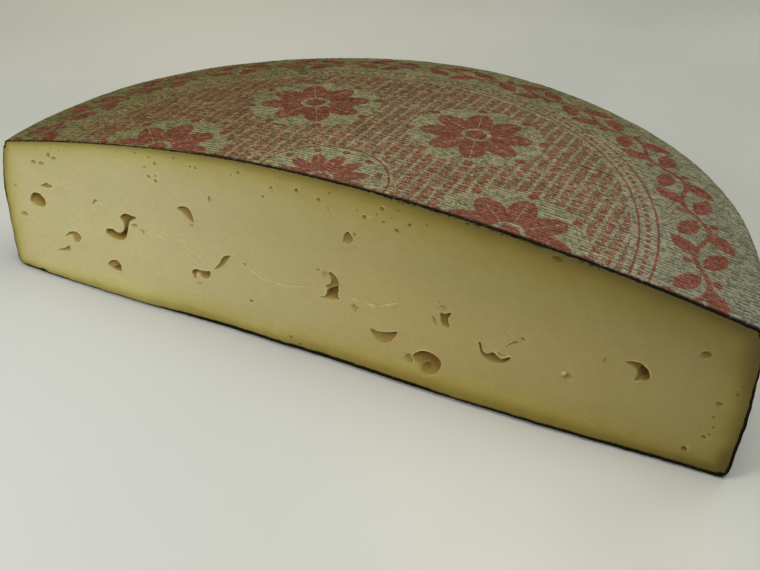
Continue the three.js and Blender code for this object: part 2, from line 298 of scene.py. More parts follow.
EYES = (
    hole(3.6, 1.4, (-145, 36.8), (-144.5, 39.2), (-143.2, 41.3), (-141.4, 42.4), (-139, 42.5),
        (-137.2, 41.4), (-136.3, 39.6), (-136.6, 37.6), (-138.3, 35.9), (-141, 35.2),
        (-143.6, 35.4), dim=0.3),
    hole(0.9, 1.3, (-139.3, 58.4), (-137.8, 59), (-136.9, 58.2), (-137.9, 56.7), (-139.5, 56.5)),
    hole(0.8, 1.3, (-135.6, 58.3), (-133.9, 59.1), (-132.5, 58.5), (-134, 57), (-135.5, 56.8)),
    hole(1.0, 1.1, (-130, 63.5), (-128.6, 64.4), (-128, 63.2), (-129, 61.7), (-130.2, 61.8)),
    hole(0.9, 1.0, (-127.5, 62.6), (-125.9, 63.2), (-125.2, 62.4), (-126.6, 61.1), (-127.6, 61.3)),
    hole(1.3, 0.9, (-137.3, 46.6), (-135.2, 48.1), (-133.4, 49), (-132.2, 48.5), (-130.2, 48.5),
        (-131.8, 47), (-134.5, 46.2), dim=0.5),
    hole(0.8, 1.5, (-152.1, 29.7), (-150.2, 30.8), (-148.6, 30.2), (-148.7, 28.9), (-150.7, 28),
        (-152.3, 28.2)),
    hole(0.4, 1.0, *ellipse(-152.2, 43.2, 2.2, 1.2, 30), lean=STRAIGHT),
    hole(0.8, 0.5, (-110, 44.5), (-109, 46.3), (-108, 47.3), (-106.6, 46.8), (-108.1, 46),
        (-109.5, 44.2)),
    hole(0.9, 0.8, (-104.8, 31.2), (-104.6, 32.4), (-103.8, 33.4), (-101.7, 34.1), (-99.9, 33.6),
        (-98.4, 33), (-96.6, 33.6), (-95.4, 34.6), (-95.4, 33), (-97, 30.9), (-99.5, 30),
        (-102.2, 30.2), (-104, 30.8), dim=0.2),
    hole(3.0, 1.1, (-95.8, 42.3), (-94, 43.8), (-91.7, 44.3), (-89.7, 43.9), (-88, 43.9),
        (-88, 42.9), (-89.9, 41.8), (-91.7, 40.3), (-92.6, 37.8), (-93.5, 35.1), (-94.5, 32.5),
        (-96.8, 30.1), (-99.5, 29.4), (-102.4, 29.6), (-104.6, 30.5), (-105.3, 32.2),
        (-104.2, 33.9), (-101.7, 34.7), (-99.9, 34.2), (-98.4, 33.6), (-96.6, 34.2), (-95.4, 35.6),
        (-94.8, 37.7), (-95.2, 39.6), (-96, 40.8), dim=0.7),
    hole(0.6, 0.7, (-91, 39.1), (-89.3, 40.3), (-87.8, 40), (-88.4, 38.8), (-90.3, 38.1),
        lean=STRAIGHT),
    hole(0.7, 0.6, (-87.2, 37.6), (-86, 38.5), (-84.5, 37.9), (-85.1, 35.6), (-85.8, 35.8),
        (-85.8, 37.2), lean=STRAIGHT),
    hole(2.0, 0.9, (-128.8, 23.4), (-127.4, 25.3), (-125.1, 26.9), (-122.1, 27.7), (-120.3, 26.7),
        (-120.1, 24.7), (-121.7, 22.5), (-124.1, 21.4), (-124.7, 22.7), (-124.8, 24.3),
        (-126.5, 24.6)),
    hole(1.2, 0.9, (-135.3, 14.7), (-132.3, 16.3), (-129.6, 17.6), (-127.9, 19.2), (-127.3, 17.8),
        (-128.1, 16.2), (-131.6, 14.8), (-134.1, 14.4)),
    hole(2.2, 1.1, (-106.9, 16), (-104.6, 18), (-102, 18.6), (-100.5, 17.5), (-100.1, 15.5),
        (-100.2, 13.3), (-102.4, 12.7), (-104.7, 12.9), (-106.5, 13.5), (-107.2, 14.7), dim=0.5),
    hole(1.4, 0.7, (-104.9, 13.5), (-103.3, 14.7), (-101.5, 15.4), (-100.4, 14.8), (-100.4, 13.5),
        (-102.6, 12.9), dim=0.9),
    hole(2.8, 1.1, (-66, 53.6), (-64.4, 54.8), (-61, 55.3), (-59.4, 53.8), (-58.6, 51.2),
        (-58.4, 48.9), (-59.9, 48.4), (-61.7, 49.6), (-63.7, 51.3), (-65.2, 52.5),
        lean=(0.20, 0.22)),
    hole(0.5, 0.8, (-60.8, 47.6), (-59.4, 48), (-58.9, 47.4), (-59.8, 46.1), (-60.7, 46.5),
        lean=STRAIGHT),
    hole(0.8, 0.6, *ellipse(-49.8, 61.6, 3.3, 1.1, 84), lean=STRAIGHT),
    hole(1.6, 0.7, (-51, 28.4), (-49.8, 30.4), (-48.1, 32.4), (-47.1, 34.4), (-45.5, 36.5),
        (-42.6, 37.5), (-43.9, 35.3), (-45.5, 32.7), (-47.7, 30.4), (-49.6, 29.1),
        lean=(0.12, 0.12), dim=0.1),
    hole(2.4, 0.9, (-62.6, 23.5), (-62, 25.1), (-60, 26.1), (-58, 26.1), (-55.5, 26.3), (-53.5, 27),
        (-53.4, 25.4), (-54.3, 23.5), (-56.2, 22.2), (-57.9, 22.7), (-58.6, 23.9), (-59.9, 24.3),
        (-60.8, 23.2), (-60.6, 21.7), (-61.5, 21), (-62.1, 22.2), dim=0.9),
    hole(0.6, 0.5, *ellipse(-59.5, 19.2, 2.6, 1.1, 8), lean=STRAIGHT),
    hole(1.8, 0.9, (-1.9, 29.7), (0, 30.9), (0.9, 32.3), (1.2, 34.2), (0.5, 35.8), (2.3, 37.1),
        (3.1, 38.6), (2.6, 40.4), (2.1, 41.5), (2.4, 42.7), (3.9, 42.8), (5.3, 41.7), (6.1, 40.1),
        (6.5, 38.2), (6.2, 36.4), (6.6, 35.8), (6, 34.3), (6.1, 32.6), (6.8, 31.3), (4.5, 29.9),
        (2.2, 28.9), (-0.1, 29)),
    hole(2.1, 0.8, (1.6, 34.2), (3.8, 35.3), (5.8, 35.9), (5.6, 34.3), (5.7, 32.6), (6.1, 31.3),
        (4.3, 30.4), (2.2, 29.8), (0.6, 30), (1.3, 32.2), lean=(0.0, 0.25), dim=0.5),
    hole(0.7, 0.6, *ellipse(-2.6, 42.3, 2.1, 1.1, 35)),
    hole(0.3, 0.8, (-1.4, 40.6), (-0.2, 42.3), (1.2, 42.6), (1.7, 41), (0.6, 39.4), (-0.6, 39.2),
        lean=STRAIGHT),
    hole(1.6, 0.9, (9.4, 61.5), (10.8, 63.1), (11.9, 62.7), (12.7, 61.1), (12.7, 59), (11.3, 57.6),
        (9.6, 57), (8.6, 58.1), (9.1, 59.8)),
    hole(0.5, 0.6, *ellipse(13.7, 62.3, 1.3, 2.0), lean=STRAIGHT),
    hole(0.8, 1.0, (10.5, 30.1), (12, 29.9), (12.6, 31.1), (13.6, 30.2), (15.4, 29.5), (14, 28.7),
        (13.4, 27.4), (12.4, 27.2), (11.9, 28.6), lean=STRAIGHT),
    hole(0.3, 0.5, *ellipse(15.8, 28.4, 1.6, 0.7, -15), lean=STRAIGHT),
    hole(2.4, 1.2, (19.6, 21.6), (21, 21.4), (23.1, 21.3), (25.8, 21.7), (28.5, 22.6), (31.1, 23.6),
        (30.4, 21.2), (28.9, 18.4), (27, 16.4), (24.9, 15.4), (23, 15.6), (21.3, 17), (20.2, 19.2),
        lean=(0.02, 0.30)),
    hole(2.8, 1.4, (37.8, 14.3), (39.3, 16.4), (41.6, 18), (44.2, 18.5), (46.5, 18), (48.4, 16.7),
        (49.5, 14.7), (49.4, 12.5), (48.6, 10.4), (47.4, 8.8), (45.5, 7.8), (43.2, 7.1),
        (41.7, 7.5), (40.8, 8.8), (39.9, 10.2), (38.6, 11.8), lean=(0.05, 0.30)),
    hole(0.7, 3.2, (38.3, 14.4), (39.6, 16.1), (41.7, 17.5), (44.2, 18), (46.2, 17.5), (47.8, 16.3),
        (48.6, 14.4), (48.2, 12.8), (46.5, 12.2), (44.8, 12.6), (43.3, 12.5), (41.8, 12),
        (40.5, 12.3), (38.9, 13.2), lean=(0.05, 0.30)),
    hole(0.8, 1.2, (41.6, 9.8), (42.6, 11.3), (44, 11.8), (45, 11), (44.8, 9.3), (43.6, 8.2),
        (42.2, 8.3)),
    hole(0.9, 2.0, (34, 12), (35, 14), (36.5, 14.8), (37.4, 13.6), (38, 11.9), (37.5, 10.4),
        (36, 9.8), (34.6, 10.4), lean=STRAIGHT),
    hole(1.9, 0.8, (48.6, 38), (49.7, 38.1), (50.9, 38.4), (52.6, 39.4), (52.5, 38.1), (51.8, 36.6),
        (51.8, 34.8), (52.4, 33.3), (52.1, 32.2), (50.5, 32), (49.4, 32.5), (48.9, 33.9),
        (48.7, 36), lean=(0.0, 0.2), dim=1.0),
    hole(0.7, 0.6, (45.4, 35.7), (46.5, 34.6), (47.3, 32.1), (46.4, 32.2), (45.7, 33.6),
        lean=STRAIGHT),
    hole(0.3, 0.6, (48.9, 41.6), (50.3, 41.4), (50.6, 39.8), (48.9, 39.2), (47.6, 40.4),
        lean=STRAIGHT),
    hole(0.4, 0.4, *ellipse(47.9, 42.5, 1.3, 0.8, 70), lean=STRAIGHT),
    hole(2.5, 0.9, (64, 29.8), (64.8, 29.6), (65.3, 28.2), (65.7, 26.6), (66.9, 25.5), (68.3, 25.7),
        (69.3, 26.7), (70.5, 26.7), (71.5, 25.9), (72.4, 25.1), (73.9, 25.1), (75.4, 26.2),
        (76.7, 27), (76.4, 25.6), (74.9, 23.7), (73.1, 22.6), (70.8, 22.1), (68.4, 22.4),
        (66.3, 23.4), (65, 25.2), (64.4, 27.4), dim=1.3),
    hole(0.7, 0.4, (71.6, 27.8), (72.6, 27.2), (74, 27), (75, 27.6), (74.2, 26.5), (72.6, 26.3),
        lean=STRAIGHT),
    hole(0.8, 0.6, (74.5, 30.7), (75.7, 32.6), (77, 33.9), (78.8, 35), (79, 33.9), (77.6, 33.1),
        (76.1, 32), lean=STRAIGHT),
    hole(0.4, 0.4, *ellipse(110.5, 37.0, 3.2, 0.8, 78), lean=STRAIGHT),
    hole(3.4, 1.6, (117.5, 38.7), (119.4, 39.9), (122, 40.3), (124.2, 39.5), (126, 37.5),
        (126.5, 35), (125.3, 33.2), (123.3, 32.8), (121.6, 32), (121.8, 34), (121.7, 36.2),
        (120.2, 37.8), lean=(0.42, 0.10), toward=(0.92, 0.38)),
    hole(1.2, 0.9, (121.9, 36.2), (122.5, 38), (124.2, 38.5), (125.6, 37.2), (126.1, 35.4),
        (125, 34.3), (123.2, 34.4), lean=(0.42, 0.10), dim=0.6),
    hole(1.1, 0.9, (141.2, 49.9), (141.9, 51.6), (143.4, 52.3), (145, 51.2), (144, 49.6),
        (142.4, 48.8)),
    hole(0.8, 1.4, (88, 73.7), (89.2, 74.5), (90.8, 74.4), (92, 73.2), (90.8, 71.9), (89.4, 71.8)),
    hole(0.9, 0.9, (149.4, 32), (150, 33.1), (151.6, 32.6), (151, 31.2), (149.9, 31.2)),
)

PINHOLES = (                            # across, up, width
    (-77.9, 65, 2.125), (-74.5, 66.3, 1.25), (-74.7, 63.8, 2.0), (-74, 71.8, 1.75),
    (-79.3, 69.3, 1.25), (-83, 74.5, 0.875), (-76.5, 74, 1.0), (-64.5, 76.4, 1.125),
    (-58.5, 70, 0.75), (-57, 74.4, 1.125), (-54.7, 74.3, 1.375), (-35.2, 76.8, 1.625),
    (-38.5, 75.3, 1.0), (-21, 73.8, 1.75), (-20.6, 72.3, 0.875), (-24.8, 69, 1.5),
    (-10, 75.3, 2.125), (-17, 79, 0.875), (-0.8, 73.7, 1.625), (3, 71, 1.125), (25, 76.3, 2.0),
    (17.8, 71, 2.375), (30.8, 68.7, 2.0), (35.8, 72.3, 1.75), (25.5, 71, 1.25), (22.8, 73.5, 1.0),
    (14.7, 73.2, 1.0), (28.8, 73.5, 0.75), (31.2, 77.3, 1.0), (42.4, 74.2, 0.875), (3.8, 77.6, 1.0),
    (-16, 6, 1.625), (-12, 3.8, 1.625), (-36, 35.3, 1.5), (-34.5, 17.7, 2.0), (80.7, 36.5, 1.75),
    (149.7, 26, 1.25), (150.3, 21.5, 1.125), (149.5, 18, 1.125), (148, 16.3, 1.875),
    (142.5, 8.7, 2.5), (155.4, 38, 1.125), (156.5, 42, 0.75), (-127, 67, 0.875), (-123, 66.8, 1.0),
)

CRACKS = (                              # height of the torn ridge, then the line's points
    (0.30, (-77.0, 37.8), (-72.8, 36.9), (-68.6, 38.4), (-64.6, 38.9), (-61.0, 38.0)),
    (0.16, (-80.0, 40.5), (-76.0, 42.2), (-73.0, 43.0)),
    (0.34, (-63.6, 35.9), (-59.4, 34.6), (-55.8, 32.3), (-53.0, 29.9), (-51.6, 28.4)),
    (0.26, (-32.8, 33.3), (-28.4, 31.0), (-23.8, 30.6), (-16.5, 31.1), (-11.0, 32.3), (-6.0, 34.2)),
    (0.34, (12.2, 34.2), (16.6, 33.9), (20.0, 33.4), (23.0, 33.2), (25.5, 34.8), (31.0, 37.5)),
    (0.22, (-106.8, 46.4), (-105.0, 45.8), (-103.4, 44.6)),
    (0.18, (-112.4, 41.0), (-110.4, 40.2), (-108.8, 40.4)),
    (0.16, (-130.6, 49.1), (-126.0, 49.7), (-120.5, 49.9)),
    (0.20, (72.0, 40.2), (74.6, 36.2), (76.2, 33.8)),
    (0.18, (-143.5, 32.4), (-141.0, 32.9), (-138.8, 31.8)),
    (0.20, (-99.6, 38.4), (-98.2, 36.9), (-97.0, 35.4)),
)
GRAIN = (97.0, 26.3, 1.3, 0.8)          # across, up, radius and height of a pale grain in a dish
GRAIN_DISH = (98.5, 25.2, 1.9, 0.7)


def smooth_loop(points, spacing, rough, seed):
    """Closed curve through the points, evenly divided, a little ragged."""
    loop = []
    count = len(points)
    for index in range(count):
        near = [Vector(points[(index + shift) % count]) for shift in (-1, 0, 1, 2)]
        before, start, end, after = near
        pieces = max(1, round((end - start).length / spacing))
        for step in range(pieces):
            part = step / pieces
            spot = 0.5 * (
                2 * start
                + (end - before) * part
                + (2 * before - 5 * start + 4 * end - after) * part**2
                + (3 * start - before - 3 * end + after) * part**3
            )
            sway = wander((spot.x, spot.y, 0), 1.1, seed)
            sway += 0.6 * wander((spot.x, spot.y, 3), 0.45, seed)
            away = (end - start).normalized()
            loop.append((spot.x - away.y * sway * rough, spot.y + away.x * sway * rough))
    return np.array(loop)


def loop_edges(first, count):
    """Edges round a closed loop of points that are numbered from the first."""
    return [(first + index, first + (index + 1) % count) for index in range(count)]


def to_loop(points, loop):
    """Distance from each point to a closed loop, positive inside it."""
    start = loop
    run = np.roll(loop, -1, axis=0) - start
    offset = points[:, None, :] - start[None, :, :]
    length = np.maximum((run**2).sum(1), 1e-12)
    along = np.clip((offset * run).sum(2) / length, 0, 1)
    gap = np.linalg.norm(offset - along[:, :, None] * run, axis=2).min(1)
    high, low = points[:, 1:2] < (start + run)[:, 1], points[:, 1:2] < start[:, 1]
    rise = np.where(run[:, 1] == 0, 1e-12, run[:, 1])
    crossing = start[:, 0] + offset[:, :, 1] / rise * run[:, 0]
    inside = ((high != low) & (points[:, 0:1] < crossing)).sum(1) % 2 == 1
    return np.where(inside, gap, -gap)


def to_line(points, line):
    """Distance from each point to an open line of points."""
    line = np.array(line, float)
    start, run = line[:-1], line[1:] - line[:-1]
    offset = points[:, None, :] - start[None, :, :]
    along = np.clip((offset * run).sum(2) / (run**2).sum(1), 0, 1)
    return np.linalg.norm(offset - along[:, :, None] * run, axis=2).min(1)


TOO_FAR = 99


def way_out(points, loop, way):
    """Distance from each point, straight along a way, to where it first crosses a closed loop."""
    run = np.roll(loop, -1, axis=0) - loop
    offset = loop[None, :, :] - points[:, None, :]
    turn = way[0] * run[:, 1] - way[1] * run[:, 0]
    turn = np.where(np.abs(turn) < 1e-9, 1e-9, turn)
    gap = (offset[:, :, 0] * run[:, 1] - offset[:, :, 1] * run[:, 0]) / turn
    share = (offset[:, :, 0] * way[1] - offset[:, :, 1] * way[0]) / turn
    return np.where((share >= 0) & (share <= 1) & (gap > 0), gap, TOO_FAR).min(1)


ACROSS_FAN = (-0.7, -0.35, 0, 0.35, 0.7)    # turns of the ways over which a place is averaged


def place_across(points, loop, toward):
    """Place of each point across a loop: 1 at the side toward which a way leads, 0 opposite."""
    total = 0
    for spread in ACROSS_FAN:
        cosine, sine = math.cos(spread), math.sin(spread)
        way = np.array((
            toward[0] * cosine - toward[1] * sine,
            toward[0] * sine + toward[1] * cosine,
        ))
        ahead, behind = way_out(points, loop, way), way_out(points, loop, -way)
        total = total + behind / (ahead + behind)
    return total / len(ACROSS_FAN)


def inward(loop, gap):
    """Points at a gap inside a loop, or outside for a negative gap, clear of its other sides."""
    ahead, behind = np.roll(loop, -1, axis=0), np.roll(loop, 1, axis=0)
    run = ahead - behind
    size = np.maximum(np.linalg.norm(run, axis=1), 1e-9)
    normal = np.stack([-run[:, 1], run[:, 0]], axis=1) / size[:, None]
    area = (loop[:, 0] * ahead[:, 1] - ahead[:, 0] * loop[:, 1]).sum()
    moved = loop + normal * gap * (1 if area > 0 else -1)
    distance = to_loop(moved, loop) * (1 if gap > 0 else -1)
    return moved[distance > 0.85 * abs(gap)]


WALL_RINGS = (0.03, 0.10, 0.22, 0.40, 0.65, 0.95, 1.35, 1.85, 2.5, 3.3)
LIP_RINGS = (-0.10, -0.30, -0.60, -1.10)
RIM_RINGS = (0.3, 0.6, 0.95, 1.4, 1.8, 2.4, 3.3, 4.6, 6.5, 9.0, 12.5, 17.0)
LOOP_SPACING = 0.34
FILL_SPACING = 3.2
FILL_HEIGHT = 100
FILL_SWAY = (-0.7, 0.7)
WALL_SPREAD = 1.9                       # width of the wall at the shallow side, in wall widths
WALL_SHADE = 0.4                        # share of the wall over which its painted shade comes in
LIP_HEIGHT = 0.26
LIP_DEPTH = 1.6                         # depth from which an eye has a lip of full height
LIP_SWELLS = ((1, -0.25, 0.3), (0.4, -0.4, 1))      # share, place and width
SHADE_STEP = 0.9                        # how far across an eye's edge its raised side is told
EYE_REACH = 2.5                         # how far round an eye its lip reaches
CRACK_HALF_WIDTH = 0.22
CRACK_ROWS = (CRACK_HALF_WIDTH, 0.45, 0.8)
CRACK_STEP = 0.5
CRACK_DEPTH = 0.7                       # depth, painted shade and height of the torn ridge of a crack,
CRACK_SHADE = 1.4                       # for each mm that is given for it in CRACKS
RIDGE_HEIGHT = 1.25
RIDGE_RISE = 0.5                        # how far the torn ridge lies over its crack
RIDGE_WIDTH = 0.48
GRAIN_RINGS = (0, 0.3, 0.55, 0.8, 1.0, 1.25)
GRAIN_PAINTED_SHADE = ((GRAIN_DISH, 1, 0.45), (GRAIN, -1, -0.9))    # way of its depth, and its painted shade: darker in the dish, paler on the grain
EDGE_CLEAR = 0.22
FACE_WAVE = 0.14
FOOT_LINE = (                           # place along the cut, and how far its foot runs out there
    (-160, 0.2), (-154, 0.9), (-140, 1.5), (-120, 1.9), (-90, 2.2), (-66, 1.2), (-45, 0.9),
    (-20, 1.4), (0, 1.1), (12, 1.5), (30, 2.4), (52, 2.8), (90, 2.6), (110, 2.0), (130, 1.1),
    (148, 0.7), (160, 0.1),
)
FOOT_CRUST_AND_SHADE = (                          # place along the cut, and how high its dark band reaches: rind, widened by painted shade where the cut meets the floor
    (-160, 1.8), (-150, 1.6), (-143, 1.55), (-128, 1.4), (-88, 1.5), (-78, 1.85), (-66, 2.3),
    (-40, 2.5), (-20, 2.5), (20, 2.9), (41, 3.0), (55, 2.4), (75, 2.6), (100, 2.7), (125, 2.5),
    (145, 2.1), (160, 1.9),
)
FOOT_RIPE = (                           # place along the cut, and how much riper its foot is
    (-135, 0), (-112, 3.0), (-82, 3.3), (-65, 2.7), (-40, 0.5), (0, 2.2), (30, 3.0), (60, 2.9),
    (95, 2.8), (110, 2.2), (135, 0.9), (152, 1.8),
)
FOOT_RIPE_FROM = (1, 6.5)               # heights over which that comes in and goes
FOOT_RIPE_TO = (9, 17)
FOOT_DARK = ((-105, 0.33), (-75, 0.15), (112, 0.15), (135, 0.38))   # how much darker it gets
FOOT_DARK_TO = (2.5, 8.5)
TOP_RIPE_TO = (10, 26)                  # distances below the crown over which the riper zone ends
TOP_RIPE_ALONG = (-70, 100)             # and places over which it comes in
TOP_RIPE = 0.8
END_RIPE_ALONG = (149, 157)
END_RIPE = 0.35
LEFT_FRESH_ALONG = (-105, -55)
LEFT_FRESH_UP = (6, 14)
LEFT_FRESH = (0.8, 0.4)                 # how much fresher at the foot, and how much of it goes
TOP_CRUST = ((-100, 0.55), (-70, 0.48), (-20, 0.62), (110, 0.88))   # width of the rind there
RIGHT_CRUST = ((27, 1.15), (48, 0.68))  # height, and width of the rind at the right end
LEFT_INSET = 2.0                        # how far the left end of the cut leans in
LEFT_CRUST = 0.30
LEFT_PATCH = (40, 6)                    # where the rind is wider: middle and half width
LEFT_PATCH_MORE = 0.5
FOOT_PATCH = (-145, 2.2)
FOOT_PATCH_MORE = 1.0
FOOT_UNDER = 2.2                        # height over which the foot rounds back in underneath
FOOT_FADE = 12.0


def eye_loops():
    loops = []
    for seed, eye in enumerate(EYES):
        rough = 0.06 if eye["deep"] > 1.3 else 0.03
        loops.append((smooth_loop(eye["outline"], LOOP_SPACING, rough, seed), eye))
    for across, up, wide in PINHOLES:
        outline = ellipse(across, up, wide, wide * rng.uniform(0.7, 0.95), rng.uniform(0, 180), 8)
        loops.append((np.array(outline), hole(0.5 * wide, 0.4 * wide, dim=0.5)))
    return loops


def crack_lines():
    lines = []
    for seed, (deep, *points) in enumerate(CRACKS):
        line = []
        for start, end in zip(points, points[1:]):
            for part in spaced(0, 1, CRACK_STEP / math.dist(start, end)):
                spot = Vector(start).lerp(Vector(end), part)
                line.append((spot.x, spot.y + 0.25 * wander((spot.x, spot.y, 0), 2.2, 60 + seed)))
        line.append(points[-1])
        lines.append((np.array(line), deep))
    return lines


def cut_domain(boundary, loops, cracks):
    """Points and constraint edges for the triangles of the cut."""
    points = [tuple(spot) for spot in boundary]
    edges = loop_edges(0, len(boundary))
    free = []
    dense = smooth_loop(points, SIDE_STEP, 0, 0)
    for gap in RIM_RINGS:
        ring = inward(dense, gap)
        free.append(ring[:: max(1, int(gap / 2.2))])
    for loop, _ in loops:
        edges += loop_edges(len(points), len(loop))
        points += [tuple(spot) for spot in loop]
        wide = max(loop.max(0) - loop.min(0))
        rings = WALL_RINGS + (LIP_RINGS if wide > 2 else LIP_RINGS[:2])
        for gap in rings:
            if gap < wide / 2:
                free.append(inward(loop, gap)[:: 1 if abs(gap) < 0.5 else 2])
    for line, _ in cracks:
        first = len(points)
        points += [tuple(spot) for spot in line]
        edges += [(first + index, first + index + 1) for index in range(len(line) - 1)]
        run = np.gradient(line, axis=0)
        normal = np.stack([-run[:, 1], run[:, 0]], axis=1) / np.linalg.norm(run, axis=1)[:, None]
        for gap in CRACK_ROWS:
            free += [line - normal * gap, line + normal * gap]
    for across, up, wide, _ in (GRAIN, GRAIN_DISH):
        for share in GRAIN_RINGS:
            size = 2 * wide * share
            free.append(np.array(ellipse(across, up, size, size, 0, 18)))
    for row in range(int(FILL_HEIGHT / FILL_SPACING)):
        shift = (row % 2) * FILL_SPACING / 2
        free.append(np.array([
            (across + shift + rng.uniform(*FILL_SWAY), row * FILL_SPACING + rng.uniform(*FILL_SWAY))
            for across in np.arange(-WHEEL_RADIUS, WHEEL_RADIUS, FILL_SPACING)
        ]))
    free = np.concatenate([group for group in free if len(group)])
    free = free[to_loop(free, boundary) > EDGE_CLEAR]
    return points + [tuple(spot) for spot in free], edges


def eye_relief(flat, loop, eye):
    """Depth, painted shade and height of the raised lip of one eye, at points near it."""
    distance = to_loop(flat, loop)
    toward = np.array(eye["toward"])
    beside = distance - to_loop(flat + SHADE_STEP * toward, loop)
    ahead = np.clip(0.5 + 0.5 * beside / SHADE_STEP, 0, 1)
    slope = place_across(flat, loop, toward)
    share = np.clip(distance / eye["wall"] / (WALL_SPREAD - slope), 0, 1)
    sink = eye["deep"] * quarter_round(share) * slope**0.8
    tall = LIP_HEIGHT * min(1.0, eye["deep"] / LIP_DEPTH) * (0.35 + 0.85 * ahead)
    bulk = 0.55 + 0.6 * wander_over(flat, 2.2, 40)
    lip = sum(part * bell(distance, place, wide) for part, place, wide in LIP_SWELLS)
    lip = np.where(distance < -0.01, lip * tall * bulk, 0)
    rise = quarter_round(np.clip(distance / (WALL_SHADE * eye["wall"]), 0, 1))
    # painted shade: darker where deeper, and most on the upper right side
    dark = eye["deep"] * slope**1.1 + (0.5 + eye["dim"]) * (0.3 + 0.7 * slope)
    return sink, rise * dark, lip


def foot_relief(flat):
    """How far the foot of the cut runs out."""
    above = flat[:, 1] - floor_lift(flat[:, 0], 0)
    foot = look_up(FOOT_LINE, flat[:, 0])
    foot += 0.25 * np.array([wander((x, 0, 0), 3.5, 42) for x in flat[:, 0]]) * np.minimum(foot, 1)
    under = quarter_round(np.clip(above / FOOT_UNDER, 0, 1))
    return foot * under * (1 - smoothstep(above, FOOT_UNDER, FOOT_FADE))


def cut_relief(flat, loops, cracks):
    """Depth behind the cut, sideways run and painted shade of every point of the cut."""
    deep = np.zeros(len(flat))
    painted_shade = np.zeros(len(flat))
    run = np.zeros((len(flat), 2))
    for loop, eye in loops:
        near = (flat > loop.min(0) - EYE_REACH) & (flat < loop.max(0) + EYE_REACH)
        near = np.all(near, axis=1)
        sink, shade, lip = eye_relief(flat[near], loop, eye)
        deep[near] += sink - lip
        painted_shade[near] += shade - lip
        run[near] += sink[:, None] * np.array(eye["lean"])
    broken = 0.55 + 0.75 * wander_over(flat, 2.4, 41)
    for line, tall in cracks:
        ridge = bell(to_line(flat, line - (0, RIDGE_RISE)), 0, RIDGE_WIDTH)
        ridge = RIDGE_HEIGHT * tall * broken * ridge
        slit = np.clip(1 - to_line(flat, line) / CRACK_HALF_WIDTH, 0, 1)
        deep += CRACK_DEPTH * tall * slit - ridge
        # painted shade in the slit, and a painted highlight on the ridge
        painted_shade += CRACK_SHADE * tall * slit - ridge
    # painted shade in the dish, and a paler grain
    for (across, up, wide, high), way, dark in GRAIN_PAINTED_SHADE:
        distance = np.hypot(flat[:, 0] - across, flat[:, 1] - up) / wide
        inside = np.clip(1 - distance**2, 0, 1)
        deep += way * high * np.sqrt(inside)
        painted_shade += dark * inside
    return deep - foot_relief(flat), run, painted_shade


def ripening(flat, rim):
    """Distance from the rind as it ripened: deepest under the top's right and at the foot."""
    across, up = flat.T
    under_top = 1 - smoothstep(crown_height(np.abs(across)) - up, *TOP_RIPE_TO)
    right = smoothstep(across, *TOP_RIPE_ALONG)
    fresh = LEFT_FRESH[0] - LEFT_FRESH[1] * smoothstep(up, *LEFT_FRESH_UP)
    left = (1 - smoothstep(across, *LEFT_FRESH_ALONG)) * fresh
    foot = look_up(FOOT_DARK, across) * (1 - smoothstep(up, *FOOT_DARK_TO))
    end = END_RIPE * smoothstep(across, *END_RIPE_ALONG)
    riper = look_up(FOOT_RIPE, across) * smoothstep(up, *FOOT_RIPE_FROM)
    riper = riper * (1 - smoothstep(up, *FOOT_RIPE_TO))
    shares = (1 + left) * (1 - foot) * (1 - end) / (1 + TOP_RIPE * right * under_top)
    return np.maximum(0, rim * shares - riper)


def crust_and_shade(flat):
    """Width of the dark rind where the cut meets it, wider at the foot as painted shade."""
    across, up = flat.T
    gaps = np.stack([
        crown_height(np.minimum(np.abs(across), CROWN_RADIUS)) - up,
        up,
        across + WHEEL_RADIUS - LEFT_INSET,
        WHEEL_RADIUS - across,
    ])
    widths = np.stack([
        look_up(TOP_CRUST, across),
        look_up(FOOT_CRUST_AND_SHADE, across) + FOOT_PATCH_MORE * bell(across, *FOOT_PATCH),
        LEFT_CRUST + LEFT_PATCH_MORE * bell(up, *LEFT_PATCH),
        look_up(RIGHT_CRUST, up),
    ])
    return widths[np.argmin(gaps, axis=0), np.arange(len(flat))]


# Mesh writing

def new_object(name, points, faces):
    mesh = bpy.data.meshes.new(name)
    mesh.from_pydata([tuple(point) for point in to_part(points)], [], faces)
    mesh.validate()
    item = bpy.data.objects.new(name, mesh)
    bpy.context.collection.objects.link(item)
    return item


def grid_faces(rows, width):
    """Faces between the points of a grid that is numbered row by row."""
    faces = []
    for row in range(rows):
        for column in range(width - 1):
            low, high = row * width + column, (row + 1) * width + column
            faces.append((low, low + 1, high + 1, high))
    return faces


def fill_outline(points, edges, count):
    """Points and triangles that fill the outline made by the first points, along all the edges."""
    spots = [Vector(spot) for spot in points]
    inside_only, too_near = 1, 1e-5
    made = delaunay_2d_cdt(spots, edges, [list(range(count))], inside_only, too_near)
    return np.array([tuple(spot) for spot in made[0]]), made[2]


def close_mesh(mesh, gap, sharp_angle, joins=lambda place: True):
    """Join points that coincide, turn the faces outward, and shade smooth up to an angle."""
    shape = bmesh.new()
    shape.from_mesh(mesh)
    seam = [vert for vert in shape.verts if joins(vert.co)]
    bmesh.ops.remove_doubles(shape, verts=seam, dist=gap)
    bmesh.ops.dissolve_degenerate(shape, edges=shape.edges, dist=1e-8)
    bmesh.ops.recalc_face_normals(shape, faces=shape.faces)
    shape.to_mesh(mesh)
    shape.free()
    mesh.shade_smooth()
    mesh.set_sharp_from_angle(angle=math.radians(sharp_angle))


def number_layer(mesh, name, values):
    layer = mesh.attributes.new(name, "FLOAT", "POINT")
    layer.data.foreach_set("value", np.asarray(values, np.float32))


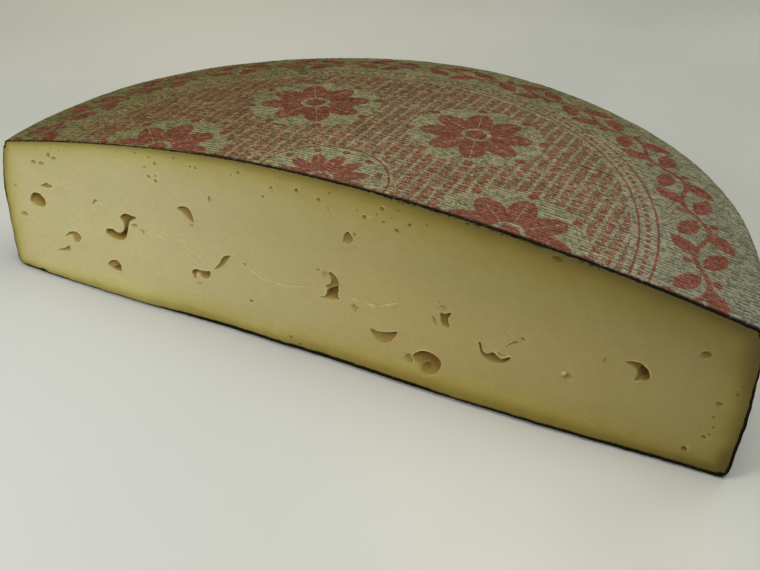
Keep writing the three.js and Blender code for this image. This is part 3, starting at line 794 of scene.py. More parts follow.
def make_cheese():
    grid = shell_points()
    points = [point for column in grid for point in column]
    faces = [(a, d, c, b) for a, b, c, d in grid_faces(SHELL_TURNS, len(grid[0]))]
    shell_faces = len(faces)

    right, left = np.array(grid[0]), np.array(grid[-1])
    boundary = np.concatenate([right, left[-2:0:-1]])[:, (0, 2)]
    loops, cracks = eye_loops(), crack_lines()
    domain, edges = cut_domain(boundary, loops, cracks)
    flat, triangles = fill_outline(domain, edges, len(boundary))
    deep, run, painted_shade = cut_relief(flat, loops, cracks)
    rim = np.maximum(0, to_loop(flat, boundary))
    wave = np.array([wander((across, 0, up), 26, 30) for across, up in flat])
    wave = wave * FACE_WAVE * smoothstep(rim, 1, 9)
    cut = np.stack([flat[:, 0] + run[:, 0], deep + wave, flat[:, 1] + run[:, 1]], axis=1)
    first = len(points)
    points += [tuple(spot) for spot in cut]
    faces += [tuple(first + index for index in face) for face in triangles]

    item = new_object("cheese_body", points, faces)
    mesh = item.data
    shell = np.zeros(first)
    number_layer(mesh, "rind_and_shade", np.concatenate([shell, crust_and_shade(flat) - rim]))
    number_layer(mesh, "ripe", np.concatenate([shell, ripening(flat, rim)]))
    number_layer(mesh, "painted_shade", np.concatenate([shell, painted_shade]))
    slots = np.zeros(len(mesh.polygons), np.int32)
    slots[shell_faces:] = 1
    mesh.materials.append(rind_material())
    mesh.materials.append(paste_material())
    mesh.polygons.foreach_set("material_index", slots)

    def on_cut(place):
        return abs(place.y - cut_place * MM) < 1e-7

    close_mesh(mesh, gap=2e-6, sharp_angle=38, joins=on_cut)
    return item


# The paper label

RIB_PITCH = 1.70
RIB_HEIGHT = 0.15
ROWS_PER_RIB = 6
LABEL_OVERHANG = 7.0                    # how far the paper runs on past the crown, over the edge
LABEL_REACH = CROWN_RADIUS + LABEL_OVERHANG
LABEL_UNDERSIDE = 0.04
LABEL_THICKNESS = 0.34
END_COLUMNS = 11
MIDDLE_COLUMNS = 66
END_LENGTH = 9.0
LABEL_ROWS = int((LABEL_REACH - 0.6) / RIB_PITCH * ROWS_PER_RIB)
LABEL_COLUMNS = 2 * END_COLUMNS + MIDDLE_COLUMNS
EDGE_INSET = 1.2                        # how far the paper's edge stays inside its reach
EDGE_WAVES = ((0.9, 14, 20), (0.4, 3, 21))          # height, size and seed
EDGE_WAVE_RADIUS = 150
CREASES = ((0.22, 21, 25), (0.10, 8, 26))
PATH_LOW = EDGE_HEIGHT - 16             # how far down the side the paper's path goes
SLOPE_STEP = 0.8                        # how far along the paper its slope is measured
UNDER_SPACING = 8
UNDER_CLEAR = 3


def paper_path():
    """Lengths along the paper, from the axis down over the edge, with radii and heights there."""
    rows = np.array([row[:2] for row in reversed(wheel_profile()) if row[1] > PATH_LOW])
    gaps = np.linalg.norm(np.diff(rows, axis=0), axis=1)
    # Over the crown a length is the way out from the axis; down the edge it follows the surface
    on_crown = rows[1:, 0] <= CROWN_RADIUS - 1
    gaps = np.where(on_crown, np.diff(rows[:, 0]), gaps)
    return np.concatenate([[0], np.cumsum(gaps)]), rows[:, 0], rows[:, 1]


PAPER_LENGTH, PAPER_RADIUS, PAPER_HEIGHT = paper_path()


def path_at(length):
    """Radius and height of the paper's path at a length along it."""
    radius = np.interp(length, PAPER_LENGTH, PAPER_RADIUS)
    return radius, np.interp(length, PAPER_LENGTH, PAPER_HEIGHT)


def on_top(flat, lift):
    """Points on the wheel at unrolled places on the paper, lifted off its surface."""
    across, back = flat.T
    reach = np.hypot(across, back)
    cosine = np.where(reach > 0, across / np.maximum(reach, 1e-9), 1)
    sine = np.where(reach > 0, back / np.maximum(reach, 1e-9), 0)
    radius, height = path_at(reach)
    before, after = path_at(reach - SLOPE_STEP), path_at(reach + SLOPE_STEP)
    out, rise = before[1] - after[1], after[0] - before[0]
    size = np.hypot(out, rise)
    points = uneven(np.stack([radius * cosine, radius * sine, height], axis=1))
    points[:, 0] += lift * out / size * cosine
    points[:, 1] += lift * out / size * sine
    points[:, 2] += lift * rise / size
    return points


def label_edge(angle):
    """How far the paper reaches from the axis, with its uneven edge."""
    spot = (math.cos(angle) * EDGE_WAVE_RADIUS, math.sin(angle) * EDGE_WAVE_RADIUS, 0)
    waves = (high * wander(spot, size, seed) for high, size, seed in EDGE_WAVES)
    return sum(waves, LABEL_REACH - EDGE_INSET)


def label_shares(half):
    """Places across a row from -1 to 1, closer together near both ends."""
    end = min(END_LENGTH, 0.3 * half) / max(half, 1e-6)
    tail = [end * step / END_COLUMNS for step in range(END_COLUMNS)]
    middle = spaced(end - 1, 1 - end, (2 - 2 * end) / MIDDLE_COLUMNS)
    rest = [1 - share for share in reversed(tail + [end])]
    return [share - 1 for share in tail] + middle + rest


def label_grid():
    """Unrolled places of the paper, in rows from the cut to the back, and the rise of its ribs."""
    flat, ribs = [], []
    for row in range(LABEL_ROWS + 1):
        level = row * RIB_PITCH / ROWS_PER_RIB
        half = math.sqrt(max(0.0, LABEL_REACH**2 - level**2))
        crest = math.cos(2 * math.pi * row / ROWS_PER_RIB)
        for share in label_shares(half):
            angle = math.atan2(level, share * half)
            reach = label_edge(angle) / LABEL_REACH
            x = share * half * (1 + (reach - 1) * abs(share) ** 6)
            y = level * (1 + (reach - 1) * (level / LABEL_REACH) ** 8)
            stray = 0.8 * wander((x, level, 0), 34, 22) + 0.18 * wander((x, 2 * level, 0), 6, 23)
            y += float(smoothstep(level, 0, 6)) * stray
            flat.append((x, max(0.0, y)))
            ribs.append(crest * (0.6 + 0.8 * wander((x, 2.5 * level, 0), 9, 24)))
    return np.array(flat), np.array(ribs)


def make_label():
    flat, ribs = label_grid()
    creases = sum(high * wander_over(flat, size, seed) for high, size, seed in CREASES)
    lift = LABEL_THICKNESS + RIB_HEIGHT * ribs + np.maximum(creases, -0.1)
    points = list(map(tuple, on_top(flat, lift)))
    rows, width = LABEL_ROWS, LABEL_COLUMNS + 1
    faces = grid_faces(rows, width)
    border = (
        list(range(width))
        + [row * width + width - 1 for row in range(1, rows + 1)]
        + [rows * width + column for column in range(width - 2, -1, -1)]
        + [row * width for row in range(rows - 1, 0, -1)]
    )
    edge = flat[border]
    inner = np.array([
        (x, y)
        for x in np.arange(-LABEL_REACH, LABEL_REACH, UNDER_SPACING)
        for y in np.arange(UNDER_SPACING / 2, LABEL_REACH, UNDER_SPACING)
    ])
    inner = inner[to_loop(inner, edge) > UNDER_CLEAR]
    domain = np.concatenate([edge, inner])
    under, triangles = fill_outline(domain, loop_edges(0, len(edge)), len(edge))
    first = len(points)
    points += list(map(tuple, on_top(under, LABEL_UNDERSIDE)))
    faces += [tuple(first + index for index in reversed(face)) for face in triangles]
    for index in range(len(border)):
        after = (index + 1) % len(border)
        faces.append((border[index], first + index, first + after, border[after]))
    item = new_object("paper_label", points, faces)
    mesh = item.data
    number_layer(mesh, "rib", np.concatenate([ribs, np.zeros(len(points) - first)]))
    mesh.materials.append(label_material())
    close_mesh(mesh, gap=1e-7, sharp_angle=60)
    return item


# Material helpers

def paint(red, green, blue):
    """Colour from the 0 to 255 values it is seen as, to the linear values that shaders use."""
    def linear(value):
        share = value / 255
        return share / 12.92 if share <= 0.04045 else ((share + 0.055) / 1.055) ** 2.4
    return (linear(red), linear(green), linear(blue), 1.0)


class Field:
    """A number that varies over a surface. Sums and products of fields become Math nodes."""

    def __init__(self, tree, socket):
        self.tree = tree
        self.socket = socket

    def apply(self, operation, *others, clamp=False):
        node = self.tree.nodes.new("ShaderNodeMath")
        node.operation = operation
        node.use_clamp = clamp
        for place, value in enumerate((self, *others)):
            feed(self.tree, node.inputs[place], value)
        return Field(self.tree, node.outputs[0])

    def __add__(self, other):
        return self.apply("ADD", other)

    def __sub__(self, other):
        return self.apply("SUBTRACT", other)

    def __rsub__(self, other):
        return self * -1 + other

    def __mul__(self, other):
        return self.apply("MULTIPLY", other)

    def __truediv__(self, other):
        return self.apply("DIVIDE", other)

    def size(self):
        return self.apply("ABSOLUTE")

    def least(self, other):
        return self.apply("MINIMUM", other)

    def most(self, other):
        return self.apply("MAXIMUM", other)

    def wrap(self, period):
        """Place within a repeat of this period, from minus half to plus half of it."""
        return self.apply("WRAP", period / 2, -period / 2)

    def edge(self, soft):
        """1 where positive, 0 where negative, with a soft edge."""
        return (self / soft).apply("ADD", 0.5, clamp=True)

    def ramp(self, low, high, start=0.0, end=1.0):
        """Smooth change from start, where the field is low, to end, where it is high."""
        node = self.tree.nodes.new("ShaderNodeMapRange")
        node.interpolation_type = "SMOOTHSTEP"
        values = {"From Min": low, "From Max": high, "To Min": start, "To Max": end}
        for name, value in values.items():
            node.inputs[name].default_value = value
        self.tree.links.new(self.socket, node.inputs["Value"])
        return Field(self.tree, node.outputs[0])


def feed(tree, socket, value):
    """Link a field to a socket, or set it to a constant."""
    if isinstance(value, Field):
        tree.links.new(value.socket, socket)
    else:
        socket.default_value = value


def length_of(first, second):
    return (first * first + second * second).apply("SQRT")


def cut_share(across):
    """Place along the cut as a share of its length, from its left end."""
    return (across + WHEEL_RADIUS) / (2 * WHEEL_RADIUS)


class Finish:
    """A material with a Principled shader, and the nodes that its colours are made from."""

    MIX_SHARE, MIX_FIRST, MIX_SECOND = 0, 6, 7      # inputs of a Mix node that mixes colours
    MIX_RESULT = 2

    def __init__(self, name):
        self.material = bpy.data.materials.new(name)
        self.material.use_nodes = True
        self.tree = self.material.node_tree
        self.shader = self.tree.nodes["Principled BSDF"]
        self.place = self.tree.nodes.new("ShaderNodeTexCoord").outputs["Object"]
        self.axes = None

    def axis(self, letter):
        """A coordinate in millimetres in the wheel's frame."""
        if self.axes is None:
            self.axes = self.tree.nodes.new("ShaderNodeSeparateXYZ")
            self.tree.links.new(self.place, self.axes.inputs[0])
        shift = {"X": AXIS_ACROSS, "Y": cut_place, "Z": 0.0}[letter]
        return Field(self.tree, self.axes.outputs[letter]) / MM - shift

    def stretched(self, scale):
        node = self.tree.nodes.new("ShaderNodeMapping")
        self.tree.links.new(self.place, node.inputs["Vector"])
        node.inputs["Scale"].default_value = scale
        return node.outputs[0]

    def clouds(self, size, detail=2.0, scale=None, seed=0.0, rough=0.5):
        """Noise from 0 to 1 with features of about this size in millimetres."""
        node = self.tree.nodes.new("ShaderNodeTexNoise")
        node.noise_dimensions = "4D"
        node.inputs["Scale"].default_value = 1 / (size * MM)
        node.inputs["Detail"].default_value = detail
        node.inputs["Roughness"].default_value = rough
        node.inputs["W"].default_value = seed
        self.tree.links.new(self.stretched(scale) if scale else self.place, node.inputs["Vector"])
        return Field(self.tree, node.outputs["Fac"])

    def layer(self, name):
        node = self.tree.nodes.new("ShaderNodeAttribute")
        node.attribute_name = name
        return Field(self.tree, node.outputs["Fac"])

    def mix(self, share, first, second, blend="MIX"):
        node = self.tree.nodes.new("ShaderNodeMix")
        node.data_type = "RGBA"
        node.blend_type = blend
        feed(self.tree, node.inputs[self.MIX_SHARE], share)
        feed(self.tree, node.inputs[self.MIX_FIRST], first)
        feed(self.tree, node.inputs[self.MIX_SECOND], second)
        return Field(self.tree, node.outputs[self.MIX_RESULT])

    def times(self, colour, tint, share=None):
        """A colour multiplied by a tint, all of it or a share."""
        product = self.mix(1.0, colour, tint, "MULTIPLY")
        return product if share is None else self.mix(share, colour, product)

    def steps(self, share, stops):
        """Colour along a share, from stops of (position, colour)."""
        node = self.tree.nodes.new("ShaderNodeValToRGB")
        ramp = node.color_ramp
        while len(ramp.elements) < len(stops):
            ramp.elements.new(0.5)
        for element, (position, colour) in zip(ramp.elements, stops):
            element.position = position
            element.color = colour
        self.tree.links.new(share.socket, node.inputs[0])
        return Field(self.tree, node.outputs[0])

    def along_cut(self, stops, base=(1, 1, 1)):
        """Colour that changes along the cut, from stops of (place, shares of a base colour)."""
        return self.steps(cut_share(self.axis("X")), [
            (cut_share(place), (*(part * whole for part, whole in zip(shares, base)), 1))
            for place, shares in stops
        ])

    def colour(self, value):
        feed(self.tree, self.shader.inputs["Base Color"], value)

    def set(self, name, value):
        feed(self.tree, self.shader.inputs[name], value)

    def bump(self, height, strength, distance):
        node = self.tree.nodes.new("ShaderNodeBump")
        node.inputs["Strength"].default_value = strength
        node.inputs["Distance"].default_value = distance * MM
        self.tree.links.new(height.socket, node.inputs["Height"])
        self.tree.links.new(node.outputs[0], self.shader.inputs["Normal"])


# Materials

PASTE = paint(200, 189, 141)
PASTE_PAINTED_LIGHT = (                         # place along the cut, and what it has of the paste's colour: painted light, lighter at the left end, darker and yellower to the right
    (-90, (1.12, 1.12, 1.09)),
    (-35, (1.03, 0.985, 0.90)),
    (20, (0.985, 0.905, 0.69)),
    (95, (0.85, 0.76, 0.52)),
    (150, (0.70, 0.63, 0.41)),
)
UPPER_PAINTED_SHADE = (                         # and what its upper part has of that: painted shade, as less light from the floor reaches it, and partly a riper zone
    (-90, (0.90, 0.90, 0.91)),
    (-35, (0.90, 0.90, 0.88)),
    (20, (0.85, 0.85, 0.82)),
    (95, (0.78, 0.78, 0.71)),
    (150, (0.82, 0.79, 0.86)),
)
# Painted shade in the eyes, cracks and dishes, browner on the left of the cut
EYE_SHADE_LEFT = (0.67, 0.55, 0.28, 1)
EYE_SHADE_RIGHT = (0.76, 0.66, 0.50, 1)
DEEP_SHADE_LEFT = (0.46, 0.35, 0.20, 1)
DEEP_SHADE_RIGHT = (0.58, 0.45, 0.37, 1)
RIPE_DEPTH = 18.0
RIND_FADE = (                           # distance from the rind, and the colour that it leaves
    (0.0, (0.36, 0.33, 0.12, 1)),
    (1.2, (0.45, 0.42, 0.17, 1)),
    (2.0, (0.56, 0.53, 0.23, 1)),
    (4.0, (0.79, 0.76, 0.43, 1)),
    (6.0, (0.88, 0.87, 0.62, 1)),
    (9.0, (0.94, 0.94, 0.78, 1)),
    (13.0, (0.98, 0.98, 0.91, 1)),
    (RIPE_DEPTH, (1.0, 1.0, 1.0, 1)),
)
MOTTLE = (0.96, 0.95, 0.91, 1)
GRAIN_SHADE = (0.90, 0.89, 0.86, 1)
CURD_SHADE = (0.92, 0.92, 0.90, 1)
# Paler torn paste on lips, ridges and grains, partly a painted highlight
LIP_PALE_AND_HIGHLIGHT = paint(236, 226, 176)
# Dark rind, also used as painted shade at the cut's foot
SKIN_AND_SHADE_DARK = paint(24, 19, 12)
SKIN_CRUMB = paint(98, 86, 60)
RIND_DARK = paint(44, 34, 22)
RIND_BROWN = paint(86, 66, 42)
RIND_BLOOM = paint(128, 112, 84)
RIND_PIT = paint(22, 17, 12)


def paste_material():
    look = Finish("paste")
    ripe = look.layer("ripe") * look.clouds(11, 2, seed=1.0).ramp(0.25, 0.75, 0.92, 1.10)
    across, up = look.axis("X"), look.axis("Z")
    fade = [(distance / RIPE_DEPTH, left) for distance, left in RIND_FADE]
    # painted light along the cut: lighter at the left end, darker at the right
    paste = look.along_cut(PASTE_PAINTED_LIGHT, PASTE)
    # painted shade over the upper part of the cut, partly a riper zone
    paste = look.times(paste, look.along_cut(UPPER_PAINTED_SHADE), up.ramp(26, 66))
    paste = look.times(paste, look.steps(ripe / RIPE_DEPTH, fade))
    paste = look.times(paste, MOTTLE, look.clouds(14, 3, seed=2.0).ramp(0.3, 0.7, 0.0, 0.5))
    grain = look.clouds(0.9, 3, seed=3.0, rough=0.7)
    paste = look.times(paste, GRAIN_SHADE, grain.ramp(0.3, 0.7, 0.0, 0.8))
    curd = look.clouds(3.6, 3, scale=(0.7, 1, 1), seed=9.0, rough=0.6).ramp(0.35, 0.65, 0.0, 0.4)
    paste = look.times(paste, CURD_SHADE, curd)
    painted_shade = look.layer("painted_shade")
    side = across.ramp(-60, 30)
    # painted shade in the eyes, cracks and dishes
    paste = look.times(paste, look.mix(side, EYE_SHADE_LEFT, EYE_SHADE_RIGHT), painted_shade.ramp(0.0, 0.8))
    paste = look.times(paste, look.mix(side, DEEP_SHADE_LEFT, DEEP_SHADE_RIGHT), painted_shade.ramp(0.6, 2.6))
    # paler lips and ridges: torn paste, partly a painted highlight
    paste = look.mix(painted_shade.ramp(-0.34, -0.05, 0.34, 0.0), paste, LIP_PALE_AND_HIGHLIGHT)
    ragged = look.clouds(1.5, 3, seed=4.0, rough=0.6)
    torn = across.ramp(-5, 30) * across.ramp(100, 125, 1.0, 0.0) * up.ramp(50, 60)
    rind_and_shade = look.layer("rind_and_shade") + (ragged - 0.5) * (torn * 1.3 + 0.8)
    specks = look.clouds(1.3, 3, seed=8.0) + look.layer("rind_and_shade").ramp(-2.4, -0.2, 0.0, 0.27)
    specks = specks * torn - 0.80
    # softer edge near the floor: painted shade fading up the cut
    soft = up.ramp(4, 8, 1.0, 0.0) * across.ramp(-95, -60, 0.0, 0.42) + 0.26
    rind_and_shade = rind_and_shade.edge(soft).most(specks.edge(0.12) * 0.7)
    crumbs = look.clouds(0.8, 1, seed=5.0).ramp(0.62, 0.70, 0.0, 0.4)
    look.colour(look.mix(rind_and_shade, paste, look.mix(crumbs, SKIN_AND_SHADE_DARK, SKIN_CRUMB)))
    look.set("Roughness", look.clouds(4, 2, seed=6.0).ramp(0.25, 0.75, 0.44, 0.58) + rind_and_shade * 0.2)
    look.set("Specular IOR Level", rind_and_shade * -0.3 + painted_shade.ramp(0.0, 1.0, 0.35, 0.12))
    look.set("Subsurface Weight", 0.12)
    look.set("Subsurface Radius", (1.0, 0.7, 0.3))
    look.set("Subsurface Scale", 0.0025)
    swells = look.clouds(3.2, 3, scale=(0.5, 1, 1), seed=7.0)
    look.bump(grain * 0.5 + swells, 0.65, 0.16)
    return look.material


def rind_material():
    look = Finish("rind")
    blotch = look.clouds(18, 4, seed=11.0, rough=0.65)
    fine = look.clouds(2.4, 4, seed=12.0, rough=0.7)
    brushed = look.clouds(3.0, 4, scale=(0.25, 0.25, 1.6), seed=13.0, rough=0.65)
    base = look.mix((blotch * 0.6 + brushed * 0.5).ramp(0.42, 0.66), RIND_DARK, RIND_BROWN)
    bloom = (fine * 0.6 + blotch * 0.4 + brushed * 0.2).ramp(0.60, 0.78, 0.0, 0.55)
    pits = look.clouds(1.4, 2, seed=14.0, rough=0.6)
    rind = look.mix(bloom, base, RIND_BLOOM)
    look.colour(look.mix(pits.ramp(0.30, 0.42, 0.65, 0.0), rind, RIND_PIT))
    look.set("Roughness", fine.ramp(0.3, 0.7, 0.58, 0.85))
    look.set("Specular IOR Level", 0.3)
    look.bump(fine + brushed * 0.6 + pits.ramp(0.30, 0.42, 0.0, 0.5), 0.8, 0.45)
    return look.material


# The print: a leaf garland, a beaded ring, a field of small links and rosettes

INK = paint(145, 82, 62)
INK_OLD = paint(120, 64, 44)
INK_RUBBED = paint(168, 112, 90)
INK_DARK = paint(84, 46, 32)
PAPER_LIGHT = paint(172, 168, 137)
PAPER_MIDDLE = paint(158, 151, 112)
PAPER_OLD = paint(140, 132, 88)
PAPER_ALONG = (                         # place along the cut, and a tint that the paper has there
    (-95, (1.01, 1.01, 0.94)),
    (-10, (1.24, 1.24, 1.38)),
    (95, (1.17, 1.14, 1.27)),
    (158, (1.03, 1.02, 1.20)),
)
PAPER_RIM = (0.82, 0.83, 0.77, 1)
# Dark lines in the paper's grooves: dirt, and painted shade between the ribs
PAPER_GROOVE_DIRT_AND_SHADE = (0.24, 0.25, 0.23, 1)
INK_GROOVE_DIRT_AND_SHADE = (0.38, 0.36, 0.35, 1)
PAPER_PATCH = (0.85, 0.87, 0.83, 1)
PAPER_STAIN = paint(66, 58, 34)
GARLAND_RADIUS = 136.0
GARLAND_REPEATS = 24
GARLAND_STEM = (3.2, 1.0, 5.0)          # swing and half width of the stem, and where it is cut off
GARLAND_LEAVES = ((-9.5, 4.2, 32), (9.5, -4.2, 32), (-3.5, -6.6, -38), (3.5, 6.6, -38))
LEAF_SIZE = (14.5, 7.2)
GARLAND_BERRIES = ((-13.2, -5.4), (13.2, 5.4))
BERRY_RADIUS = 1.7
BEAD_RADIUS = 117.0
BEAD_PITCH = 3.4
BEAD_SIZE = 0.95
BEAD_LINES = (3.6, -3.2)                # places of the lines beside the beads
LINE_WIDTH = 0.9
FIELD_RADIUS = 111.0
LINK_ROW = 4.8                          # rows of small links that fill the field
LINK_PITCH = 2.8
LINK_OUTER = 0.96
LINK_INNER = 0.34
ROW_SHIFT = (12.9898, 43.7)             # turn and swing of the sine that shifts each row
STRETCH_PITCH = 22.4                    # a row's stretches of links, and half the length of one
STRETCH_HALF = 10.5
WASH_HALF = 1.75
ROSETTE_PLACE = 72.0
ROSETTE_RADIUS = 25.0
ROSETTE_COUNT = 6
ROSETTE_PETALS = 8
ROSETTE_CLEAR = 2.5                     # gap between a rosette and the links
CENTRE_RADIUS = 25.0                    # the ring round the middle flower, that flower, and the gap
CENTRE_FLOWER = 20.0
CENTRE_PETALS = 12
CENTRE_CLEAR = 1.5
PRINT_SWAY = 0.6                        # unevenness of the print


def leaf(along, over, middle, turn, length, width):
    """Positive inside a pointed leaf."""
    cosine, sine = math.cos(math.radians(turn)), math.sin(math.radians(turn))
    x, y = along - middle[0], over - middle[1]
    run = x * cosine + y * sine
    off = y * cosine - x * sine
    share = run / (length / 2)
    return (1.0 - share * share) * (width / 2) - off.size()


def disc(along, over, middle, radius):
    return radius - length_of(along - middle[0], over - middle[1])


def ring(distance, radius, width):
    return width / 2 - (distance - radius).size()


def rosette(distance, angle, radius, petals):
    """Positive on the petals, core and outer dots of a round flower."""
    swing = (angle * petals / 2).apply("COSINE").size()
    petal_edge = swing * (0.34 * radius) + 0.56 * radius
    body = (petal_edge - distance).least(distance - 0.24 * radius)
    core = 0.17 * radius - distance
    slit = (angle * petals / 2).apply("SINE").size() * distance - 0.03 * radius
    along = (angle * (petals / (2 * math.pi))).wrap(1) * (2 * math.pi * radius / petals)
    beads = disc(along, distance, (0, 1.06 * radius), 0.075 * radius)
    return body.least(slit).most(core).most(beads)


def garland_field(angle, distance):
    """Positive on the leaf garland along the rim."""
    cell = 2 * math.pi * GARLAND_RADIUS / GARLAND_REPEATS
    along = (angle * GARLAND_RADIUS).wrap(cell)
    over = distance - GARLAND_RADIUS
    swing, half_width, cut_off = GARLAND_STEM
    stem_wave = (along * (2 * math.pi / cell)).apply("SINE") * swing
    garland = half_width - (over - stem_wave).size()
    garland = garland.least(cut_off - over.size())
    for *middle, turn in GARLAND_LEAVES:
        garland = garland.most(leaf(along, over, middle, turn, *LEAF_SIZE))
    for middle in GARLAND_BERRIES:
        garland = garland.most(disc(along, over, middle, BERRY_RADIUS))
    return garland


def bead_field(angle, distance):
    """Positive on the ring of beads and the lines beside it."""
    outer, inner = (ring(distance, BEAD_RADIUS + place, LINE_WIDTH) for place in BEAD_LINES)
    bead = (angle * BEAD_RADIUS).wrap(BEAD_PITCH)
    return outer.most(inner).most(disc(bead, distance, (0, BEAD_RADIUS), BEAD_SIZE))


def link_fields(look, across, back):
    """Fields that are positive on the small links, and in the stretches of a row that hold any."""
    row = (across / LINK_ROW).apply("FLOOR")
    turn, swing = ROW_SHIFT
    shift = (row * turn).apply("SINE") * swing
    link = length_of(across.wrap(LINK_ROW).size() - 0.80, (back + shift).wrap(LINK_PITCH) / 1.2)
    worn = look.clouds(1.9, 1, seed=33.0).ramp(0.4, 0.7, -0.1, 0.4)
    links = (LINK_OUTER - link).least(link - LINK_INNER + worn)
    return links, STRETCH_HALF - (back + shift * 2.3).wrap(STRETCH_PITCH).size()


def print_fields(look):
    """Fields that are positive in full ink, in a thin wash of it, and in the area of links."""
    across = look.axis("X") + (look.clouds(1.3, 2, seed=31.0) - 0.5) * PRINT_SWAY
    back = look.axis("Y") + (look.clouds(1.3, 2, seed=32.0) - 0.5) * PRINT_SWAY
    distance = length_of(across, back)
    angle = back.apply("ARCTAN2", across)

    turned = angle.wrap(2 * math.pi / ROSETTE_COUNT)
    flower_x = distance * turned.apply("COSINE") - ROSETTE_PLACE
    flower_y = distance * turned.apply("SINE")
    flower_distance = length_of(flower_x, flower_y)
    flower_angle = flower_y.apply("ARCTAN2", flower_x)

    links, area = link_fields(look, across, back)
    area = area.least(FIELD_RADIUS - distance)
    area = area.least(flower_distance - (ROSETTE_RADIUS + ROSETTE_CLEAR))
    area = area.least(distance - (CENTRE_RADIUS + CENTRE_CLEAR))
    full = garland_field(angle, distance).most(bead_field(angle, distance))
    full = full.most(links.least(area))
    full = full.most(rosette(flower_distance, flower_angle, ROSETTE_RADIUS, ROSETTE_PETALS))
    full = full.most(rosette(distance, angle, CENTRE_FLOWER, CENTRE_PETALS))
    full = full.most(ring(distance, CENTRE_RADIUS, LINE_WIDTH))
    wash = WASH_HALF - across.wrap(LINK_ROW).size() + across.ramp(-110, 20, 0.25, 0.0)
    return full, wash.least(area), area


def label_material():
    look = Finish("label_paper")
    rib = look.layer("rib")
    across, back = look.axis("X"), look.axis("Y")
    blotch = look.clouds(26, 4, seed=21.0, rough=0.6) - 0.5
    grain = look.clouds(1.5, 4, scale=(0.4, 1.5, 1), seed=22.0, rough=0.75) - 0.5
    streak = look.clouds(1.6, 3, scale=(0.36, 1, 1), seed=27.0, rough=0.7) - 0.5
    weave = look.clouds(0.75, 2, scale=(0.6, 1, 1), seed=28.0, rough=0.8) - 0.5
    aged = (across * -0.0038 + back * 0.0030 + blotch * 1.2).ramp(-0.5, 0.8)
    fresh = (across * 0.010 + blotch * 1.0).ramp(0.6, 1.7)
    paper = look.mix(fresh, look.mix(aged, PAPER_MIDDLE, PAPER_OLD), PAPER_LIGHT)
    paper = look.times(paper, look.along_cut(PAPER_ALONG))
    paper = look.times(paper, PAPER_RIM, length_of(across, back).ramp(116, 134))
    stain = look.clouds(7, 4, scale=(0.7, 1.5, 1), seed=23.0, rough=0.7) + aged * 0.08
    stain = stain.ramp(0.60, 0.78, 0.0, 0.7)
    patch = look.clouds(5, 4, scale=(0.7, 1.2, 1), seed=29.0, rough=0.75).ramp(0.35, 0.7)
    paper = look.mix(stain, look.times(paper, PAPER_PATCH, patch), PAPER_STAIN)
    # dark grooves: dirt and fibre lines, and painted shade between the ribs
    groove_dirt_and_shade = (rib * 0.55 + streak * 2.3 + weave * 4.6 + grain * 2.2).ramp(-1.0, 1.0, 1.0, 0.0)
    paper = look.times(paper, PAPER_GROOVE_DIRT_AND_SHADE, groove_dirt_and_shade)
    rubbed = (streak + weave * 1.6 + grain).ramp(0.0, 0.5, 0.0, 0.8)
    ink = look.mix(rubbed, look.mix(aged, INK, INK_OLD), INK_RUBBED)
    ink = look.times(look.mix(stain, ink, INK_DARK), INK_GROOVE_DIRT_AND_SHADE, groove_dirt_and_shade)
    worn = look.clouds(2.0, 3, seed=24.0, rough=0.7) + grain * 0.25 + streak * 0.6
    worn = worn.ramp(0.22, 0.45, 0.30, 1.0)
    full, wash, area = print_fields(look)
    thin = ((weave * 1.5 + streak).ramp(-0.6, 0.5, 0.4, 0.05) + aged * 0.35) * wash.edge(0.4)
    inked = full.edge(0.35).most(thin).most(area.edge(2.0) * aged * 0.13)
    inked = inked * worn * (rib + grain * 2).ramp(-2.6, 0.2, 0.82, 0.98)
    # dark torn front edge of the paper: rind crumbs, and painted shade along the cut's top edge
    torn = ((look.clouds(1.2, 2, seed=30.0) - 0.5) * 1.5 - back + 0.3).edge(0.4)
    torn = torn * across.ramp(-85, -45, 0.1, 0.95)
    look.colour(look.mix(torn, look.mix(inked, paper, ink), SKIN_AND_SHADE_DARK))
    look.set("Roughness", grain.ramp(-0.2, 0.2, 0.68, 0.9))
    look.set("Specular IOR Level", 0.25)
    look.bump(grain + look.clouds(0.6, 2, seed=25.0) * 0.3 + streak, 0.5, 0.12)
    return look.material


# Floor and light

FLOOR_COLOUR = paint(222, 222, 214)
FLOOR_SHADE = paint(214, 214, 205)
FLOOR_PAINTED_SHADE = paint(205, 206, 203)       # painted shade that evens out the light: in front on the left
FLOOR_PAINTED_LIGHT = paint(241, 237, 219)        # and painted light far behind on the left
FLOOR_SIZE = 8.0
NEAR_ALONG, NEAR_BACK = (-40, 110), (-20, 60)       # places over which the near tone ends
FAR_ALONG, FAR_BACK = (-330, 60), (100, 330)        # and over which the far tone ends and starts


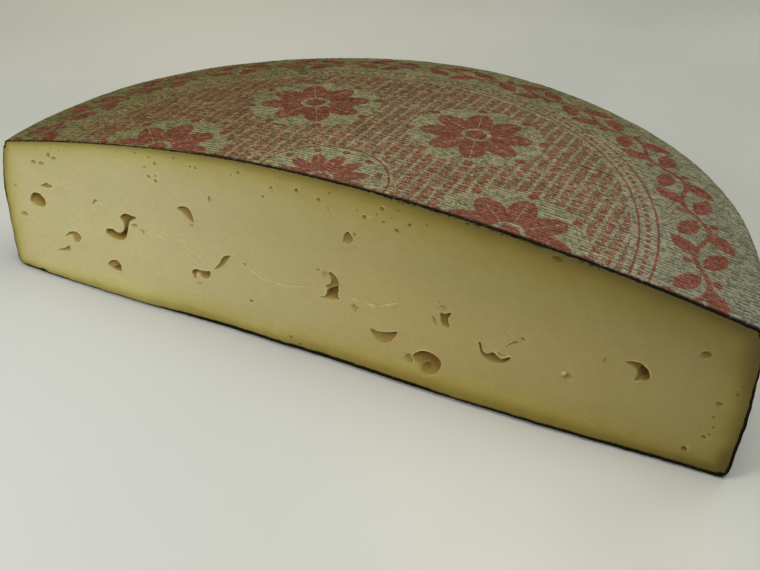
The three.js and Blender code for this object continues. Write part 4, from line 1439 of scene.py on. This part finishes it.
def make_floor():
    mesh = bpy.data.meshes.new("floor")
    half = FLOOR_SIZE / 2
    corners = [(-half, -half, 0), (half, -half, 0), (half, half, 0), (-half, half, 0)]
    mesh.from_pydata(corners, [], [(0, 1, 2, 3)])
    floor = bpy.data.objects.new("floor", mesh)
    bpy.context.collection.objects.link(floor)
    look = Finish("floor")
    across, back = look.axis("X"), look.axis("Y")
    near = across.ramp(*NEAR_ALONG, 1.0, 0.0) * back.ramp(*NEAR_BACK, 1.0, 0.0)
    far = across.ramp(*FAR_ALONG, 1.0, 0.0) * back.ramp(*FAR_BACK)
    tone = look.mix(look.clouds(120, 2, seed=41.0).ramp(0.3, 0.7), FLOOR_COLOUR, FLOOR_SHADE)
    look.colour(look.mix(far, look.mix(near, tone, FLOOR_PAINTED_SHADE), FLOOR_PAINTED_LIGHT))
    look.set("Roughness", look.clouds(6, 2, seed=42.0).ramp(0.3, 0.7, 0.6, 0.7))
    look.set("Specular IOR Level", 0.25)
    mesh.materials.append(look.material)


def area_light(name, place, aim, size, power, colour):
    data = bpy.data.lights.new(name, "AREA")
    data.shape = "RECTANGLE"
    data.size, data.size_y = size
    data.energy = power
    data.color = colour
    light = bpy.data.objects.new(name, data)
    direction = Vector(aim) - Vector(place)
    light.rotation_euler = direction.to_track_quat("-Z", "Y").to_euler()
    light.location = place
    bpy.context.collection.objects.link(light)


LIGHTS = (                              # name, place, aim, size, power, colour
    ("front_left", (-0.20, -0.42, 0.32), (-0.12, -0.08, 0.04), (0.24, 0.24), 1.2, (1.0, 1.0, 0.96)),
    ("right_top", (0.35, -0.15, 1.20), (0.05, 0.0, 0.04), (0.80, 0.80), 5.2, (0.97, 1.0, 1.0)),
    ("middle_top", (0.0, 0.0, 1.40), (0.0, 0.0, 0.0), (1.20, 1.20), 6.5, (1.0, 0.99, 0.92)),
    ("back_right", (0.50, 0.60, 1.00), (0.05, 0.0, 0.04), (0.60, 0.60), 1.3, (1.0, 1.0, 0.9)),
)
WORLD_STRENGTH = 0.01


def make_light():
    world = bpy.data.worlds.new("studio")
    bpy.context.scene.world = world
    world.use_nodes = True
    background = world.node_tree.nodes["Background"]
    background.inputs["Color"].default_value = (1.0, 1.0, 1.0, 1)
    background.inputs["Strength"].default_value = WORLD_STRENGTH
    for light in LIGHTS:
        area_light(*light)
    bpy.context.scene.view_settings.view_transform = "Standard"
    bpy.context.scene.view_settings.look = "None"


make_camera()
make_light()
make_floor()

cheese = make_cheese()
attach(cheese, "root")
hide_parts(CHEESE_NODE)

label = make_label()
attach(label, "root")
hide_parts(LABEL_NODE)
